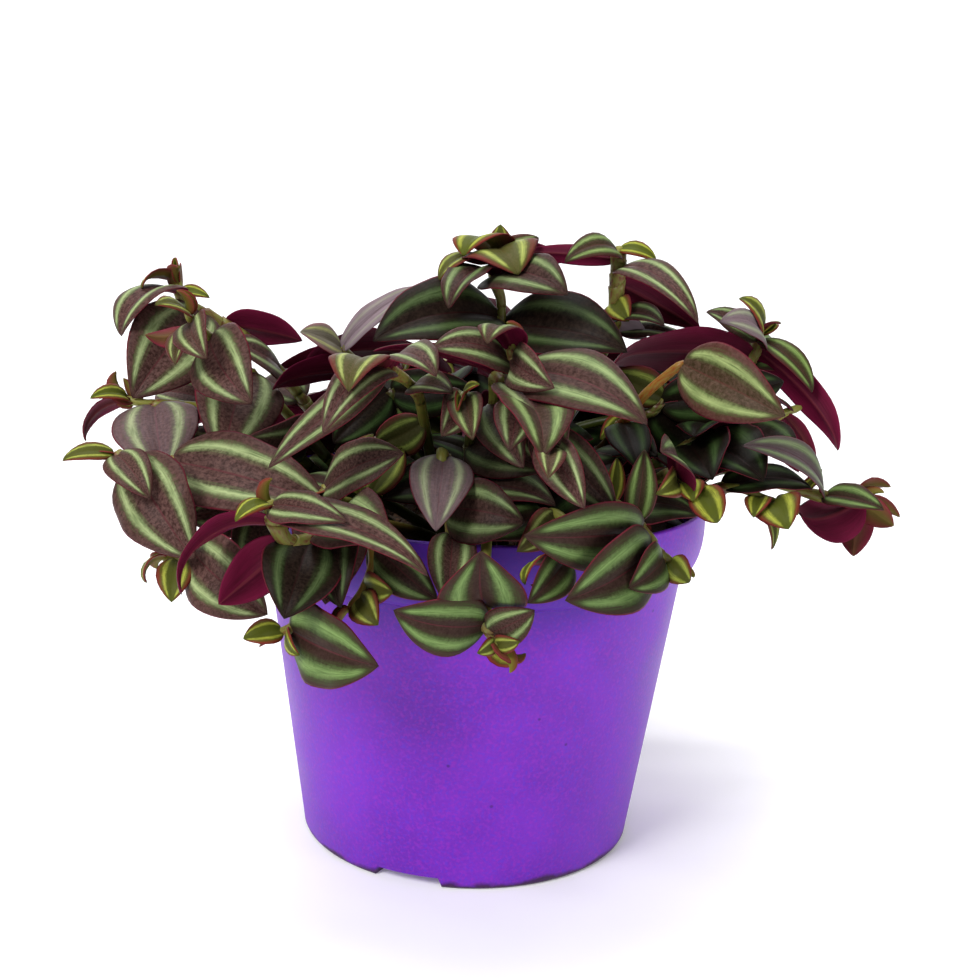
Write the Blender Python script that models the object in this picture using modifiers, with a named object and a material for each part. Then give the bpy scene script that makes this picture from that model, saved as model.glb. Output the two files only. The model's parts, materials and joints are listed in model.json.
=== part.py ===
"""Trailing foliage plant with striped leaves in a round nursery pot.

The pot stands on z = 0 with its axis on the world's Z axis. The plant is worked out in
millimetres and every mesh is turned to metres where it is made. Each leafy stem is one
solid: a tapering tube with its blades sunk into it.
"""

import math
import random

import bmesh
import bpy
from mathutils import Vector
from mathutils.bvhtree import BVHTree

MM = 0.001

# Pot
POT_HEIGHT = 93.2
RIM_RADIUS = 60.0
BODY_TOP_RADIUS = 55.0
BASE_RADIUS = 43.9
SKIRT_HEIGHT = 17.0
WALL = 1.5
FLOOR = 4.0
POT_SIDES = 32
NOTCHES = 3
NOTCH_WIDTH = 16.5
NOTCH_HEIGHT = 2.7
NOTCH_DEPTH = 13.0
NOTCH_TURN = math.radians(252)
DRAIN_RADIUS = 3.0
DRAIN_INSET = 8.0
DRAIN_SIDES = 10

# Compost
GAP = 0.3
SOIL_TOP = 82.0
SOIL_BUMP = 1.1
SOIL_RINGS = (0, 22, 42)
ROOT_DEPTH = 8.0
ROOT_RISE = 2.5

# Stems
STEM_RADIUS = 1.55
TIP_RADIUS = 1.05
STEM_STEP = 18.0
COLLAR_STEP = 12.6
TUBE_SIDES = 6
HOLE_SIDES = 5
HOLE_RADIUS = STEM_RADIUS + 2 * GAP

# Blades
BLADE_THICKNESS = 1.1
WIDEST = 2.744
BASE_POWER = 0.6
TIP_POWER = 0.9
BASE_SHIFT = 0.012
FOLD = 0.30
CAMBER = 0.20
LARGE_BLADE = 29.0
SMALL_BLADE = 13.0
LARGE_STATIONS = (0.2, 0.48, 0.78)
MIDDLE_STATIONS = (0.28, 0.7)
SMALL_STATIONS = (0.42,)
CLEARANCE = 0.35
FREE_FROM = 0.3

SHRINK_HAND = (1.0, 0.85, 0.7)
SHRINK_YOUNG = (1.0, 0.8)
SHRINK_FILLING = (1.0, 0.8, 0.65)

# Young leaves at a tip, the innermost first
YOUNG_LENGTH = 6.5
YOUNG_GROWTH = 3.0
YOUNG_SETBACK = 0.8
YOUNG_STEP = 2.8
YOUNG_OPENING = 14
YOUNG_SPREAD = 13
YOUNG_ARCH = 62
YOUNG_CURL = 12
YOUNG_TURN = 205
YOUNG_SLIM = 0.75

# Leaves that fill a stem below its tip
FILLING_START = 9.0
FILLING_FOOT = 6.0
FILLING_ARCH = (35, 65)
FILLING_SLIM = 0.58
ROUTE_LENGTHS = (22, 30)
RING_LENGTHS = (27, 38)

SEED = 23
UP = Vector((0, 0, 1))
ACROSS_GUIDE = Vector((0.31, 0.95, 0.05))
SIDES = {
    "u": Vector((0, 0, 1)),
    "d": Vector((0, 0, -1)),
    "f": Vector((0, -1, 0)),
    "b": Vector((0, 1, 0)),
    "l": Vector((-1, 0, 0)),
    "r": Vector((1, 0, 0)),
}

# Each row: name, root on the compost (x, y), the stem's route (x, y, z), its young leaves at the
# tip and how far they are turned, and its grown leaves. A leaf has its place along the route
# (1 is the route's first point), its tip (x, y, z), the sides that its upper face looks to,
# the angle that it arches through and its width as a share of its length.
SHOOTS = (
    ("front_1", (-14, -27), ((-29, -57, 98), (-35, -66, 95), (-40, -71, 95), (-43, -73, 100),
                             (-44, -74, 105)), 1, 0, (
        (4.35, (-8, -92, 96), "uuf", 50, 0.30), (4.7, (-26, -86, 104), "uf", 60, 0.42),
        (4.8, (-50, -82, 102), "uuf", 80, 0.50), (3.9, (-62, -84, 86), "buull", 110, 0.42),
        (3.0, (-54, -80, 83), "b", 50, 0.55), (2.2, (-39, -86, 83), "f", 40, 0.78),
        (1.6, (-28, -79, 83), "f", 40, 0.62))),
    ("middle_2", (4, -12), ((6, -30, 119), (7, -44, 128), (7, -48, 133), (7, -50, 138)), 1, 0, (
        (2.4, (36, -74, 126), "uf", 50, 0.46), (2.0, (-25, -47, 135), "uf", 40, 0.32),
        (2.9, (-11, -62, 138), "uf", 60, 0.50), (3.3, (16, -68, 131), "f", 42, 0.48),
        (3.6, (1, -64, 140), "u", 110, 0.55), (0.9, (26, -50, 111), "f", 40, 0.72))),
    ("left_4", (-28, -11), ((-59, -36, 103), (-72, -44, 106), (-77, -50, 107), (-83, -52, 109)), 1, 0, (
        (3.4, (-62, -66, 89), "f", 40, 0.66), (2.0, (-32, -55, 99), "uf", 40, 0.50),
        (3.9, (-72, -64, 102), "uf", 60, 0.56), (3.95, (-94, -56, 108), "uf", 60, 0.42))),
    ("left_3", (-32, 3), ((-61, -12, 112), (-71, -19, 115), (-81, -24, 116), (-88, -24, 117)), 2, 90, (
        (2.9, (-74, -41, 103), "uf", 30, 0.95), (3.6, (-96, -30, 107), "l", 110, 0.45),
        (3.8, (-94, -31, 118), "uf", 90, 0.50), (3.3, (-88, -22, 122), "b", 30, 0.45))),
    ("front_2", (-19, -22), ((-33, -51, 100), (-39, -65, 88), (-37, -69, 77), (-43, -68, 73)), 1, 20, (
        (3.5, (-19, -88, 74), "f", 30, 0.64), (1.2, (-31, -74, 81), "f", 40, 0.66),
        (3.6, (-37, -78, 72), "fl", 40, 0.46), (3.8, (-50, -72, 73), "uf", 70, 0.70))),
    ("front_3", (-8, -31), ((-23, -59, 97), (-22, -66, 90), (-24, -69, 84), (-27, -71, 80)), 1, 90, (
        (3.2, (-20, -77, 79), "f", 40, 0.85), (2.8, (-17, -75, 86), "f", 40, 0.80),
        (1.5, (-7, -74, 84), "f", 28, 0.55))),
    ("front_7", (17, -27), ((31, -55, 103), (39, -62, 97), (41, -63, 94), (45, -63, 92)), 1, 0, (
        (1.6, (37, -58, 116), "f", 30, 0.44), (2.5, (20, -86, 89), "f", 40, 0.56),
        (3.3, (34, -78, 90), "f", 60, 0.60), (3.8, (48, -68, 89), "f", 90, 0.90),
        (1.8, (11, -86, 102), "f", 30, 0.43), (1.0, (32, -50, 113), "f", 30, 0.40))),
    ("front_4", (-1, -36), ((-8, -54, 113), (-7, -58, 105), (-5, -63, 98), (-4, -67, 91)), 1, 0, (
        (0.95, (-8, -77, 101), "f", 35, 0.54), (2.5, (11, -72, 102), "f", 54, 0.72),
        (3.2, (-5, -80, 85), "f", 40, 0.55))),
    ("front_5", (4, -30), ((3, -56, 100), (3, -72, 88), (4, -79, 80), (7, -81, 76)), 2, 0, (
        (2.5, (2, -91, 100), "f", 40, 0.86), (2.9, (-16, -86, 85), "f", 40, 0.70),
        (3.2, (14, -84, 86), "f", 60, 0.74), (3.6, (2, -84, 76), "f", 60, 0.70),
        (3.7, (11, -84, 79), "f", 70, 0.70))),
    ("front_6", (11, -33), ((17, -58, 101), (23, -66, 98), (20, -72, 94), (17, -76, 92)), 1, 0, (
        (2.9, (11, -84, 87), "f", 50, 0.55), (3.4, (11, -82, 91), "u", 110, 0.55),
        (1.2, (10, -70, 94), "f", 40, 0.55))),
    ("front_9", (-2, -22), ((-2, -44, 121), (-3, -52, 126), (-4, -60, 126)), 1, 90, (
        (1.6, (-8, -64, 118), "f", 60, 0.55), (2.6, (0, -62, 130), "uf", 60, 0.50),
        (2.45, (-1, -70, 119), "f", 50, 0.50))),
    ("front_8", (7, -21), ((3, -46, 129), (10, -58, 123), (14, -68, 120), (16, -74, 118)), 1, 0, (
        (0.8, (10, -66, 113), "f", 40, 0.48), (1.32, (19, -74, 118), "f", 40, 0.46),
        (1.88, (14, -82, 119), "f", 68, 0.60), (3.2, (23, -82, 108), "f", 50, 0.50),
        (2.6, (31, -68, 104), "f", 50, 0.46), (3.8, (15, -86, 115), "f", 60, 0.50),
        (1.72, (7, -74, 118), "f", 35, 0.50))),
    ("front_10", (-11, -20), ((-30, -50, 104), (-35, -56, 103)), 1, 0, (
        (1.9, (-16, -66, 115), "uf", 35, 0.60), (1.1, (-24, -52, 116), "uf", 40, 0.60),
        (0.7, (-18, -34, 110), "uf", 40, 0.62))),
    ("middle_1", (-9, -13), ((-14, -40, 122), (-17, -52, 129), (-21, -60, 132), (-25, -65, 132)), 1, 90, (
        (3.0, (-44, -78, 113), "uf", 40, 0.26), (2.72, (-32, -84, 122), "uf", 81, 0.31),
        (2.8, (-9, -76, 134), "uf", 90, 0.55), (3.5, (-27, -82, 131), "uf", 90, 0.60),
        (1.5, (-6, -60, 127), "uf", 60, 0.52), (0.8, (-26, -30, 109), "f", 40, 0.66),
        (0.65, (-12, -30, 111), "f", 40, 0.62))),
    ("top_1", (1, 2), ((4, -6, 136), (4, -5, 143), (2, -4, 149), (3, -1, 155)), 1, 0, (
        (2.8, (20, -28, 148), "uf", 70, 0.56), (3.0, (-9, -26, 143), "uf", 80, 0.50),
        (1.08, (35, -26, 135), "uf", 35, 0.62), (1.3, (-27, -24, 134), "uf", 60, 0.58),
        (3.3, (-12, -12, 148), "uf", 110, 0.60), (3.5, (8, -22, 151), "uf", 104, 0.85),
        (3.3, (20, 6, 153), "bbu", 60, 0.46), (3.75, (-6, -16, 155), "uf", 110, 0.80),
        (3.8, (13, -4, 159), "f", 60, 0.60), (3.9, (3, -2, 162), "f", 40, 0.80))),
    ("top_2", (11, 6), ((32, 4, 132), (33, -4, 141), (33, -6, 150), (33, -8, 158)), 0, 0, (
        (3.2, (51, -34, 143), "fu", 80, 0.27), (2.85, (56, 2, 137), "bbu", 40, 0.50),
        (3.6, (7, 0, 155), "b", 27, 0.20), (3.7, (19, -16, 154), "uf", 110, 0.44),
        (3.9, (42, -10, 154), "uf", 100, 0.46), (1.6, (44, -18, 140), "uf", 60, 0.44),
        (2.3, (36, -12, 140), "f", 80, 0.85))),
    ("top_3", (-11, 8), ((-28, 4, 120), (-33, 0, 125), (-36, -3, 128), (-37, -4, 129)), 0, 0, (
        (3.4, (-15, -2, 146), "uf", 60, 0.24), (1.4, (-52, -24, 121), "bbu", 35, 0.32),
        (3.6, (-46, -12, 134), "uf", 40, 0.72))),
    ("right_2", (16, -12), ((33, -34, 116), (38, -42, 126), (43, -46, 132), (46, -48, 135)), 0, 0, (
        (3.9, (66, -68, 127), "f", 35, 0.56), (0.8, (41, -50, 114), "uf", 35, 0.50),
        (1.2, (37, -55, 111), "uf", 50, 0.50))),
    ("left_1", (-26, 6), ((-57, 0, 127), (-67, -3, 134), (-77, -5, 140), (-78, -5, 145)), 2, 90, (
        (3.9, (-86, -12, 143), "ul", 110, 0.50), (3.4, (-69, -8, 141), "uf", 60, 0.45),
        (3.3, (-89, -20, 132), "ufl", 100, 0.80), (2.5, (-86, -24, 116), "f", 35, 0.70),
        (0.8, (-63, -16, 131), "uf", 40, 0.60), (2.0, (-47, 2, 130), "bbu", 30, 0.52))),
    ("left_2", (-27, -4), ((-62, -14, 127), (-65, -24, 132), (-68, -30, 136), (-70, -34, 140)), 1, 0, (
        (2.3, (-53, -46, 121), "f", 50, 0.64), (3.4, (-63, -46, 131), "f", 60, 0.60),
        (3.8, (-75, -44, 143), "uf", 50, 0.55), (2.9, (-80, -34, 134), "bd", 30, 0.55),
        (0.88, (-61, -36, 106), "f", 47, 0.74), (3.0, (-71, -43, 129), "fl", 50, 0.55),
        (0.5, (-56, -34, 110), "f", 54, 0.55))),
    ("left_5", (-24, -18), ((-51, -42, 97), (-61, -56, 91), (-66, -58, 87), (-71, -56, 86)), 1, 45, (
        (2.6, (-45, -70, 78), "f", 50, 0.70), (3.2, (-67, -66, 79), "f", 40, 0.75),
        (0.75, (-68, -46, 93), "f", 28, 0.62), (0.9, (-53, -52, 80), "f", 30, 0.62),
        (3.8, (-74, -60, 81), "ul", 130, 0.90))),
    ("right_1", (23, 4), ((62, 2, 123), (70, 2, 130), (71, 2, 134), (72, 2, 137)), 1, 90, (
        (3.2, (85, -6, 123), "uuf", 70, 0.42), (2.6, (92, -14, 109), "bbu", 70, 0.25),
        (2.1, (29, -28, 132), "bbu", 40, 0.29), (3.0, (59, -10, 141), "uf", 100, 0.52),
        (3.5, (57, 2, 142), "uf", 60, 0.55), (3.7, (65, 0, 146), "f", 81, 0.85),
        (3.9, (76, -2, 140), "u", 80, 0.52))),
    ("right_3", (23, -3), ((55, -20, 112), (71, -12, 115), (78, -8, 118), (82, -6, 119)), 0, 0, (
        (1.0, (67, -44, 108), "uf", 40, 0.76), (2.9, (86, -12, 105), "br", 60, 0.28),
        (1.7, (77, -30, 110), "uf", 50, 0.62), (0.92, (54, -50, 109), "uuf", 40, 0.60),
        (2.5, (84, 0, 101), "b", 50, 0.40), (1.3, (50, -40, 116), "uf", 40, 0.60))),
    ("right_4", (30, -8), ((60, -22, 105), (72, -24, 103), (85, -24, 100), (96, -22, 99)), 1, 0, (
        (3.9, (103, -28, 94), "b", 40, 0.62), (3.1, (98, -36, 100), "uf", 50, 0.50),
        (3.05, (62, -40, 115), "uf", 68, 0.31), (4.0, (78, -34, 97), "bd", 68, 0.62),
        (3.95, (94, -30, 87), "b", 40, 0.66), (2.6, (85, -24, 107), "f", 30, 0.40),
        (0.7, (57, -18, 109), "uf", 40, 0.60), (3.8, (104, -18, 102), "bu", 80, 0.60),
        (3.95, (106, -22, 95), "bu", 60, 0.50))),
    ("right_5", (26, -14), ((57, -36, 103), (63, -38, 104), (68, -38, 102), (72, -38, 101)), 2, 45, (
        (3.7, (73, -48, 97), "f", 90, 0.98), (3.0, (65, -46, 99), "f", 60, 0.70),
        (0.8, (63, -34, 108), "uf", 54, 0.62), (1.3, (82, -30, 103), "uf", 54, 0.52),
        (2.65, (71, -44, 91), "fr", 60, 0.40))),
    ("right_6", (23, -20), ((44, -44, 108), (45, -50, 108), (48, -52, 108), (51, -54, 107)), 1, 0, (
        (3.0, (49, -58, 105), "f", 80, 0.95), (3.9, (55, -58, 100), "f", 80, 0.85),
        (2.2, (41, -62, 106), "f", 68, 0.55))),
    ("middle_3", (-6, -4), ((-10, -10, 110), (-20, -16, 117), (-23, -17, 121)), 0, 0, (
        (3.0, (-36, -24, 108), "f", 30, 0.70), (2.3, (-7, -14, 110), "f", 40, 0.66),
        (1.9, (-23, -16, 105), "f", 40, 0.62), (2.9, (-2, -20, 123), "f", 40, 0.60))),
    ("middle_4", (12, -3), ((18, -9, 108), (42, -18, 118), (45, -19, 122)), 0, 0, (
        (3.0, (31, -20, 128), "f", 40, 0.66), (2.7, (76, -16, 127), "f", 40, 0.45),
        (2.32, (63, -8, 105), "f", 28, 0.66), (1.7, (30, -20, 111), "f", 40, 0.60))),
)

# Stems that the rule grows: name, how many, first and last heading in degrees, distance of the
# root and of the tip from the pot's axis, height of the crest and of the tip.
RINGS = (
    ("back", 8, 46, 168, 41, 84, 112, 88),
    ("rear", 6, 18, 162, 27, 62, 124, 112),
    ("inner", 5, 30, 146, 14, 34, 124, 116),
    ("hidden", 2, -140, -40, 40, 48, 104, 98),
)
RING_NODE_STEP = 12.0
ROUTE_NODE_STEP = 18.0
RING_SHARES = (0.35, 0.62, 0.84, 1.0)
RING_YOUNG = 3
RING_TRIES = 16
FALL_TO_SIDES = 0.16
ROOT_SPACING = 5.4


def unit(vector):
    return vector.normalized()


def stem_points(root, route):
    """A curve through the route: straight up out of its hole, then cubic stretches whose slope
    at a point runs along the line between the points on either side."""
    foot = Vector((root[0], root[1], SOIL_TOP - ROOT_DEPTH))
    collar = Vector((root[0], root[1], SOIL_TOP + ROOT_RISE))
    points = [foot, collar] + [Vector(point) for point in route]
    slopes = [UP * 2]
    for before, here, after in zip(points, points[1:], points[2:]):
        reach = min((here - before).length, (after - here).length)
        slopes.append(unit(after - before) * reach)
    slopes[1] = UP * slopes[1].length
    slopes.append(unit(points[-1] - points[-2]) * (points[-1] - points[-2]).length)
    curve = [(foot, -1.0)]
    for index in range(1, len(points) - 1):
        start, end = points[index], points[index + 1]
        step = COLLAR_STEP if index == 1 else STEM_STEP
        pieces = max(1, round((end - start).length / step))
        for piece in range(pieces):
            t = piece / pieces
            place = (
                start * (2 * t**3 - 3 * t**2 + 1) + slopes[index] * (t**3 - 2 * t**2 + t)
                + end * (3 * t**2 - 2 * t**3) + slopes[index + 1] * (t**3 - t**2)
            )
            curve.append((place, index - 1 + t))
    curve.append((points[-1], len(points) - 2.0))
    return curve


def stem_at(curve, knot):
    """The point on a stem's curve at a place along its route."""
    for (start, first), (end, last) in zip(curve, curve[1:]):
        if knot <= last:
            share = (knot - first) / (last - first)
            return start.lerp(end, max(0.0, min(1.0, share)))
    return curve[-1][0]


def back_from_tip(curve, distance):
    """The point on the stem at a distance back from its tip."""
    for (start, _), (end, _) in zip(curve[-2::-1], curve[:0:-1]):
        length = (end - start).length
        if distance <= length:
            return end.lerp(start, distance / length)
        distance -= length
    return curve[0][0]


def facing(along, wish):
    """The part of the wished direction that is square to the leaf's own line."""
    face = wish - along * wish.dot(along)
    if face.length < 0.05:
        face = along.orthogonal()
    return unit(face)


def leaf(base, tip, wish, arch, slim):
    chord = tip - base
    along = unit(chord)
    return {
        "base": base,
        "chord": chord.length,
        "along": along,
        "face": facing(along, wish),
        "arch": math.radians(arch),
        "slim": slim,
    }


def outline(v):
    """Half width along the blade: steep to its widest at two fifths, then in to a point."""
    return WIDEST * (v + BASE_SHIFT) ** BASE_POWER * (1 - v) ** TIP_POWER


def blade_frames(item, stations):
    """Midrib points with their face directions, on a circular arc over the chord, and the half
    widths there."""
    half = item["arch"] / 2
    radius = item["chord"] / (2 * math.sin(half))
    length = radius * item["arch"]
    side = item["along"].cross(item["face"])
    frames = []
    for v in stations:
        angle = half * (1 - 2 * v)
        forward = radius * (math.sin(half) - math.sin(angle))
        height = radius * (math.cos(angle) - math.cos(half))
        middle = item["base"] + item["along"] * forward + item["face"] * height
        normal = item["face"] * math.cos(angle) - item["along"] * math.sin(angle)
        frames.append((middle, normal, outline(v) * item["slim"] * length / 2))
    return side, frames


def blade_solid(item, thickness, margin=0.0, first=0.0):
    """A closed blade, thickest along its midrib, sharp at its edges and pointed at both ends.
    Each station is a ring of four points: edge, upper midrib, edge, lower midrib."""
    stations = SMALL_STATIONS if item["chord"] < SMALL_BLADE else MIDDLE_STATIONS
    if item["chord"] > LARGE_BLADE:
        stations = LARGE_STATIONS
    side, frames = blade_frames(item, (first, *stations, 1.0))
    points = []
    for middle, normal, width in frames[1:-1]:
        half = width + margin
        lift = normal * (half * (FOLD - CAMBER))
        skin = normal * (thickness / 2)
        points += [middle - side * half + lift, middle + skin, middle + side * half + lift, middle - skin]
    base, tip = len(points), len(points) + 1
    points += [frames[0][0], frames[-1][0]]
    faces = []
    for corner in range(4):
        beside = (corner + 1) % 4
        for here in range(0, base - 4, 4):
            a, b, c, d = here + corner, here + beside, here + 4 + corner, here + 4 + beside
            faces += [(a, b, c), (b, d, c)] if corner in (0, 2) else [(a, b, d), (a, d, c)]
        faces += [(base, beside, corner), (base - 4 + corner, base - 4 + beside, tip)]
    return points, faces


def tube_solid(curve, extra=0.0):
    """A closed tube along the stem's curve, for clearance alone."""
    points, faces = [], []
    for index, (place, knot) in enumerate(curve):
        ahead = curve[min(index + 1, len(curve) - 1)][0]
        behind = curve[max(index - 1, 0)][0]
        along = unit(ahead - behind)
        across = unit(along.cross(ACROSS_GUIDE))
        upward = across.cross(along)
        radius = stem_radius(knot, curve[-1][1]) + extra
        for corner in range(TUBE_SIDES):
            turn = 2 * math.pi * corner / TUBE_SIDES
            points.append(place + (across * math.cos(turn) + upward * math.sin(turn)) * radius)
    for ring in range(len(curve) - 1):
        for corner in range(TUBE_SIDES):
            a = ring * TUBE_SIDES + corner
            b = ring * TUBE_SIDES + (corner + 1) % TUBE_SIDES
            faces += [(a, b, b + TUBE_SIDES), (a, b + TUBE_SIDES, a + TUBE_SIDES)]
    return points, faces


def stem_radius(knot, last):
    share = max(0.0, knot / last)
    return STEM_RADIUS + (TIP_RADIUS - STEM_RADIUS) * share


def pot_profile():
    """Radius and height of the pot's wall: up the inside, over the lip, down the outside."""
    skirt_foot = POT_HEIGHT - SKIRT_HEIGHT
    outside = [
        (RIM_RADIUS - 0.5, POT_HEIGHT - 0.1),
        (RIM_RADIUS, POT_HEIGHT - 1.4),
        (RIM_RADIUS, POT_HEIGHT - 6.0),
        (RIM_RADIUS - 0.8, skirt_foot + 5.0),
        (BODY_TOP_RADIUS + 2.4, skirt_foot + 1.2),
        (BODY_TOP_RADIUS, skirt_foot),
        (BASE_RADIUS + 0.5, 1.0),
        (BASE_RADIUS - 0.4, 0.0),
    ]
    inside = [
        (BASE_RADIUS - WALL + 0.4, FLOOR),
        (BODY_TOP_RADIUS - WALL, skirt_foot + 0.8),
        (RIM_RADIUS - WALL - 1.6, skirt_foot + 4.0),
        (RIM_RADIUS - WALL, POT_HEIGHT - 6.0),
        (RIM_RADIUS - WALL + 0.4, POT_HEIGHT),
    ]
    return [(0.0, FLOOR)] + inside + outside + [(0.0, 0.0)]


def pot_barrier():
    """The pot's outer wall and the compost's top as one open surface, for clearance alone."""
    top = SOIL_TOP + SOIL_BUMP
    line = [(0, top), (RIM_RADIUS - WALL - 1, top)] + pot_profile()[4:]
    points, faces = [], []
    for radius, height in line:
        for corner in range(POT_SIDES):
            turn = 2 * math.pi * corner / POT_SIDES
            points.append(Vector((radius * math.cos(turn), radius * math.sin(turn), height)))
    for ring in range(len(line) - 1):
        for corner in range(POT_SIDES):
            a = ring * POT_SIDES + corner
            b = ring * POT_SIDES + (corner + 1) % POT_SIDES
            faces += [(a, b, b + POT_SIDES), (a, b + POT_SIDES, a + POT_SIDES)]
    return points, faces


class Clearance:
    """Keeps every solid placed so far and says whether a new one would cross another."""

    def __init__(self):
        self.solids = []

    def add(self, owner, points, faces):
        centre = sum(points, Vector()) / len(points)
        reach = max((point - centre).length for point in points)
        tree = BVHTree.FromPolygons(points, faces)
        self.solids.append((owner, centre, reach, tree))

    def crosses(self, owner, points, faces, own=False):
        """True if the solid crosses one of another stem, or one of its own stem if own is set."""
        centre = sum(points, Vector()) / len(points)
        reach = max((point - centre).length for point in points)
        tree = None
        for other, place, size, solid in self.solids:
            if (other == owner) != own or (place - centre).length > size + reach:
                continue
            if tree is None:
                tree = BVHTree.FromPolygons(points, faces)
            if tree.overlap(solid):
                return True
        return False


def bends():
    """Turns tried for a leaf, smallest first: sideways, up and round its own line, in degrees."""
    steps = [(0, 0, 0)]
    for size in (6, 12, 18, 26, 34):
        steps += [(size, 0, 0), (-size, 0, 0), (0, size, 0), (0, -size, 0), (0, 0, size * 2)]
        steps += [(0, 0, -size * 2), (size, size, 0), (-size, size, 0), (size, -size, 0)]
        steps += [(-size, -size, 0), (size, 0, size), (-size, 0, -size)]
    return steps


BENDS = bends()


def turned(item, sideways, lift, roll, scale):
    """The leaf turned about its base and shortened."""
    along, face = item["along"], item["face"]
    side = along.cross(face)
    yaw, pitch, spin = (math.radians(angle) for angle in (sideways, lift, roll))
    new_along = unit(along + side * math.tan(yaw) + face * math.tan(pitch))
    new_face = facing(new_along, face * math.cos(spin) + side * math.sin(spin))
    return dict(item, along=new_along, face=new_face, chord=item["chord"] * scale)


def settle(item, owner, clearance, shares):
    """Bends a leaf clear of all that stands, or shortens it. None if it finds no room."""
    for scale in shares:
        for sideways, lift, roll in BENDS:
            trial = turned(item, sideways, lift, roll, scale)
            grown = blade_solid(trial, BLADE_THICKNESS + 3 * CLEARANCE, 2 * CLEARANCE)
            if clearance.crosses(owner, *grown):
                continue
            free = blade_solid(trial, BLADE_THICKNESS, 0.0, FREE_FROM)
            far_half = free[0], [face for face in free[1] if not base_face(face, free[0])]
            if clearance.crosses(owner, *far_half, own=True):
                continue
            clearance.add(owner, *blade_solid(trial, BLADE_THICKNESS))
            return trial
    return None


def base_face(face, points):
    """True for the faces that run to the blade's base point."""
    return len(points) - 2 in face


def young_leaves(curve, count, turn):
    """The closed young leaves at a stem's tip: each older one is longer, opens wider and
    stands on the other side of the stem."""
    tangent = unit(curve[-1][0] - back_from_tip(curve, 5.0))
    first = unit(tangent.cross(UP)) if abs(tangent.z) < 0.95 else Vector((1, 0, 0))
    second = tangent.cross(first)
    leaves = []
    for rank in range(count):
        around = math.radians(turn + YOUNG_TURN * rank)
        outward = first * math.cos(around) + second * math.sin(around)
        opening = math.radians(YOUNG_OPENING + YOUNG_SPREAD * rank)
        along = tangent * math.cos(opening) + outward * math.sin(opening)
        base = back_from_tip(curve, YOUNG_SETBACK + YOUNG_STEP * rank)
        tip = base + along * (YOUNG_LENGTH + YOUNG_GROWTH * rank)
        arch = YOUNG_ARCH + YOUNG_CURL * rank
        leaves.append(leaf(base, tip, tangent - outward * 0.3, arch, YOUNG_SLIM))
    return leaves


def filling_leaves(curve, highest, step, lengths, draw):
    """Leaves by turns on either side of a stem, a step apart, from its young leaves or from a
    point above its first grown one down to the compost."""
    outward = unit(Vector((curve[-1][0].x, curve[-1][0].y, 0)))
    leaves = []
    distance, side = FILLING_START, draw.choice((-1, 1))
    while True:
        base = back_from_tip(curve, distance)
        if base.z < SOIL_TOP + FILLING_FOOT:
            return leaves
        if knot_at(curve, distance) < highest:
            side = -side
            tangent = unit(back_from_tip(curve, distance - 3) - back_from_tip(curve, distance + 3))
            across = unit(tangent.cross(UP)) if abs(tangent.z) < 0.97 else outward.cross(UP)
            along = across * side + outward * draw.uniform(0.2, 0.8) + UP * draw.uniform(-0.3, 0.3)
            tip = base + unit(along) * draw.uniform(*lengths)
            wish = UP + outward * draw.uniform(0.4, 1.2)
            leaves.append(leaf(base, tip, wish, draw.uniform(*FILLING_ARCH), FILLING_SLIM))
        distance += step * draw.uniform(0.85, 1.15)


def knot_at(curve, distance):
    """The place along the route at a distance back from the stem's tip."""
    for (start, low), (end, high) in zip(curve[-2::-1], curve[:0:-1]):
        length = (end - start).length
        if distance <= length:
            return high + (low - high) * distance / length
        distance -= length
    return curve[0][1]


def ring_route(heading, root_reach, reach, crest, tip, draw):
    """A route that climbs over the pot's rim to a crest and hangs to its tip."""
    turn = math.radians(heading)
    out = Vector((math.cos(turn), math.sin(turn), 0))
    across = Vector((-out.y, out.x, 0)) * draw.uniform(-6, 6)
    root = out * root_reach
    crest -= abs(out.x) * reach * FALL_TO_SIDES
    tip -= abs(out.x) * reach * FALL_TO_SIDES
    heights = (crest * 0.94, crest, (crest + tip) / 2 + 3, tip)
    route = []
    for share, height in zip(RING_SHARES, heights):
        place = out * (root_reach + (reach - root_reach) * share) + across * share
        route.append((place.x, place.y, height))
    return (root.x, root.y), route


def apart(root, stems):
    """True if no stem stands so near to this root that their holes would meet."""
    return all(math.dist(root, stem["root"]) > ROOT_SPACING for stem in stems)


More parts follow.
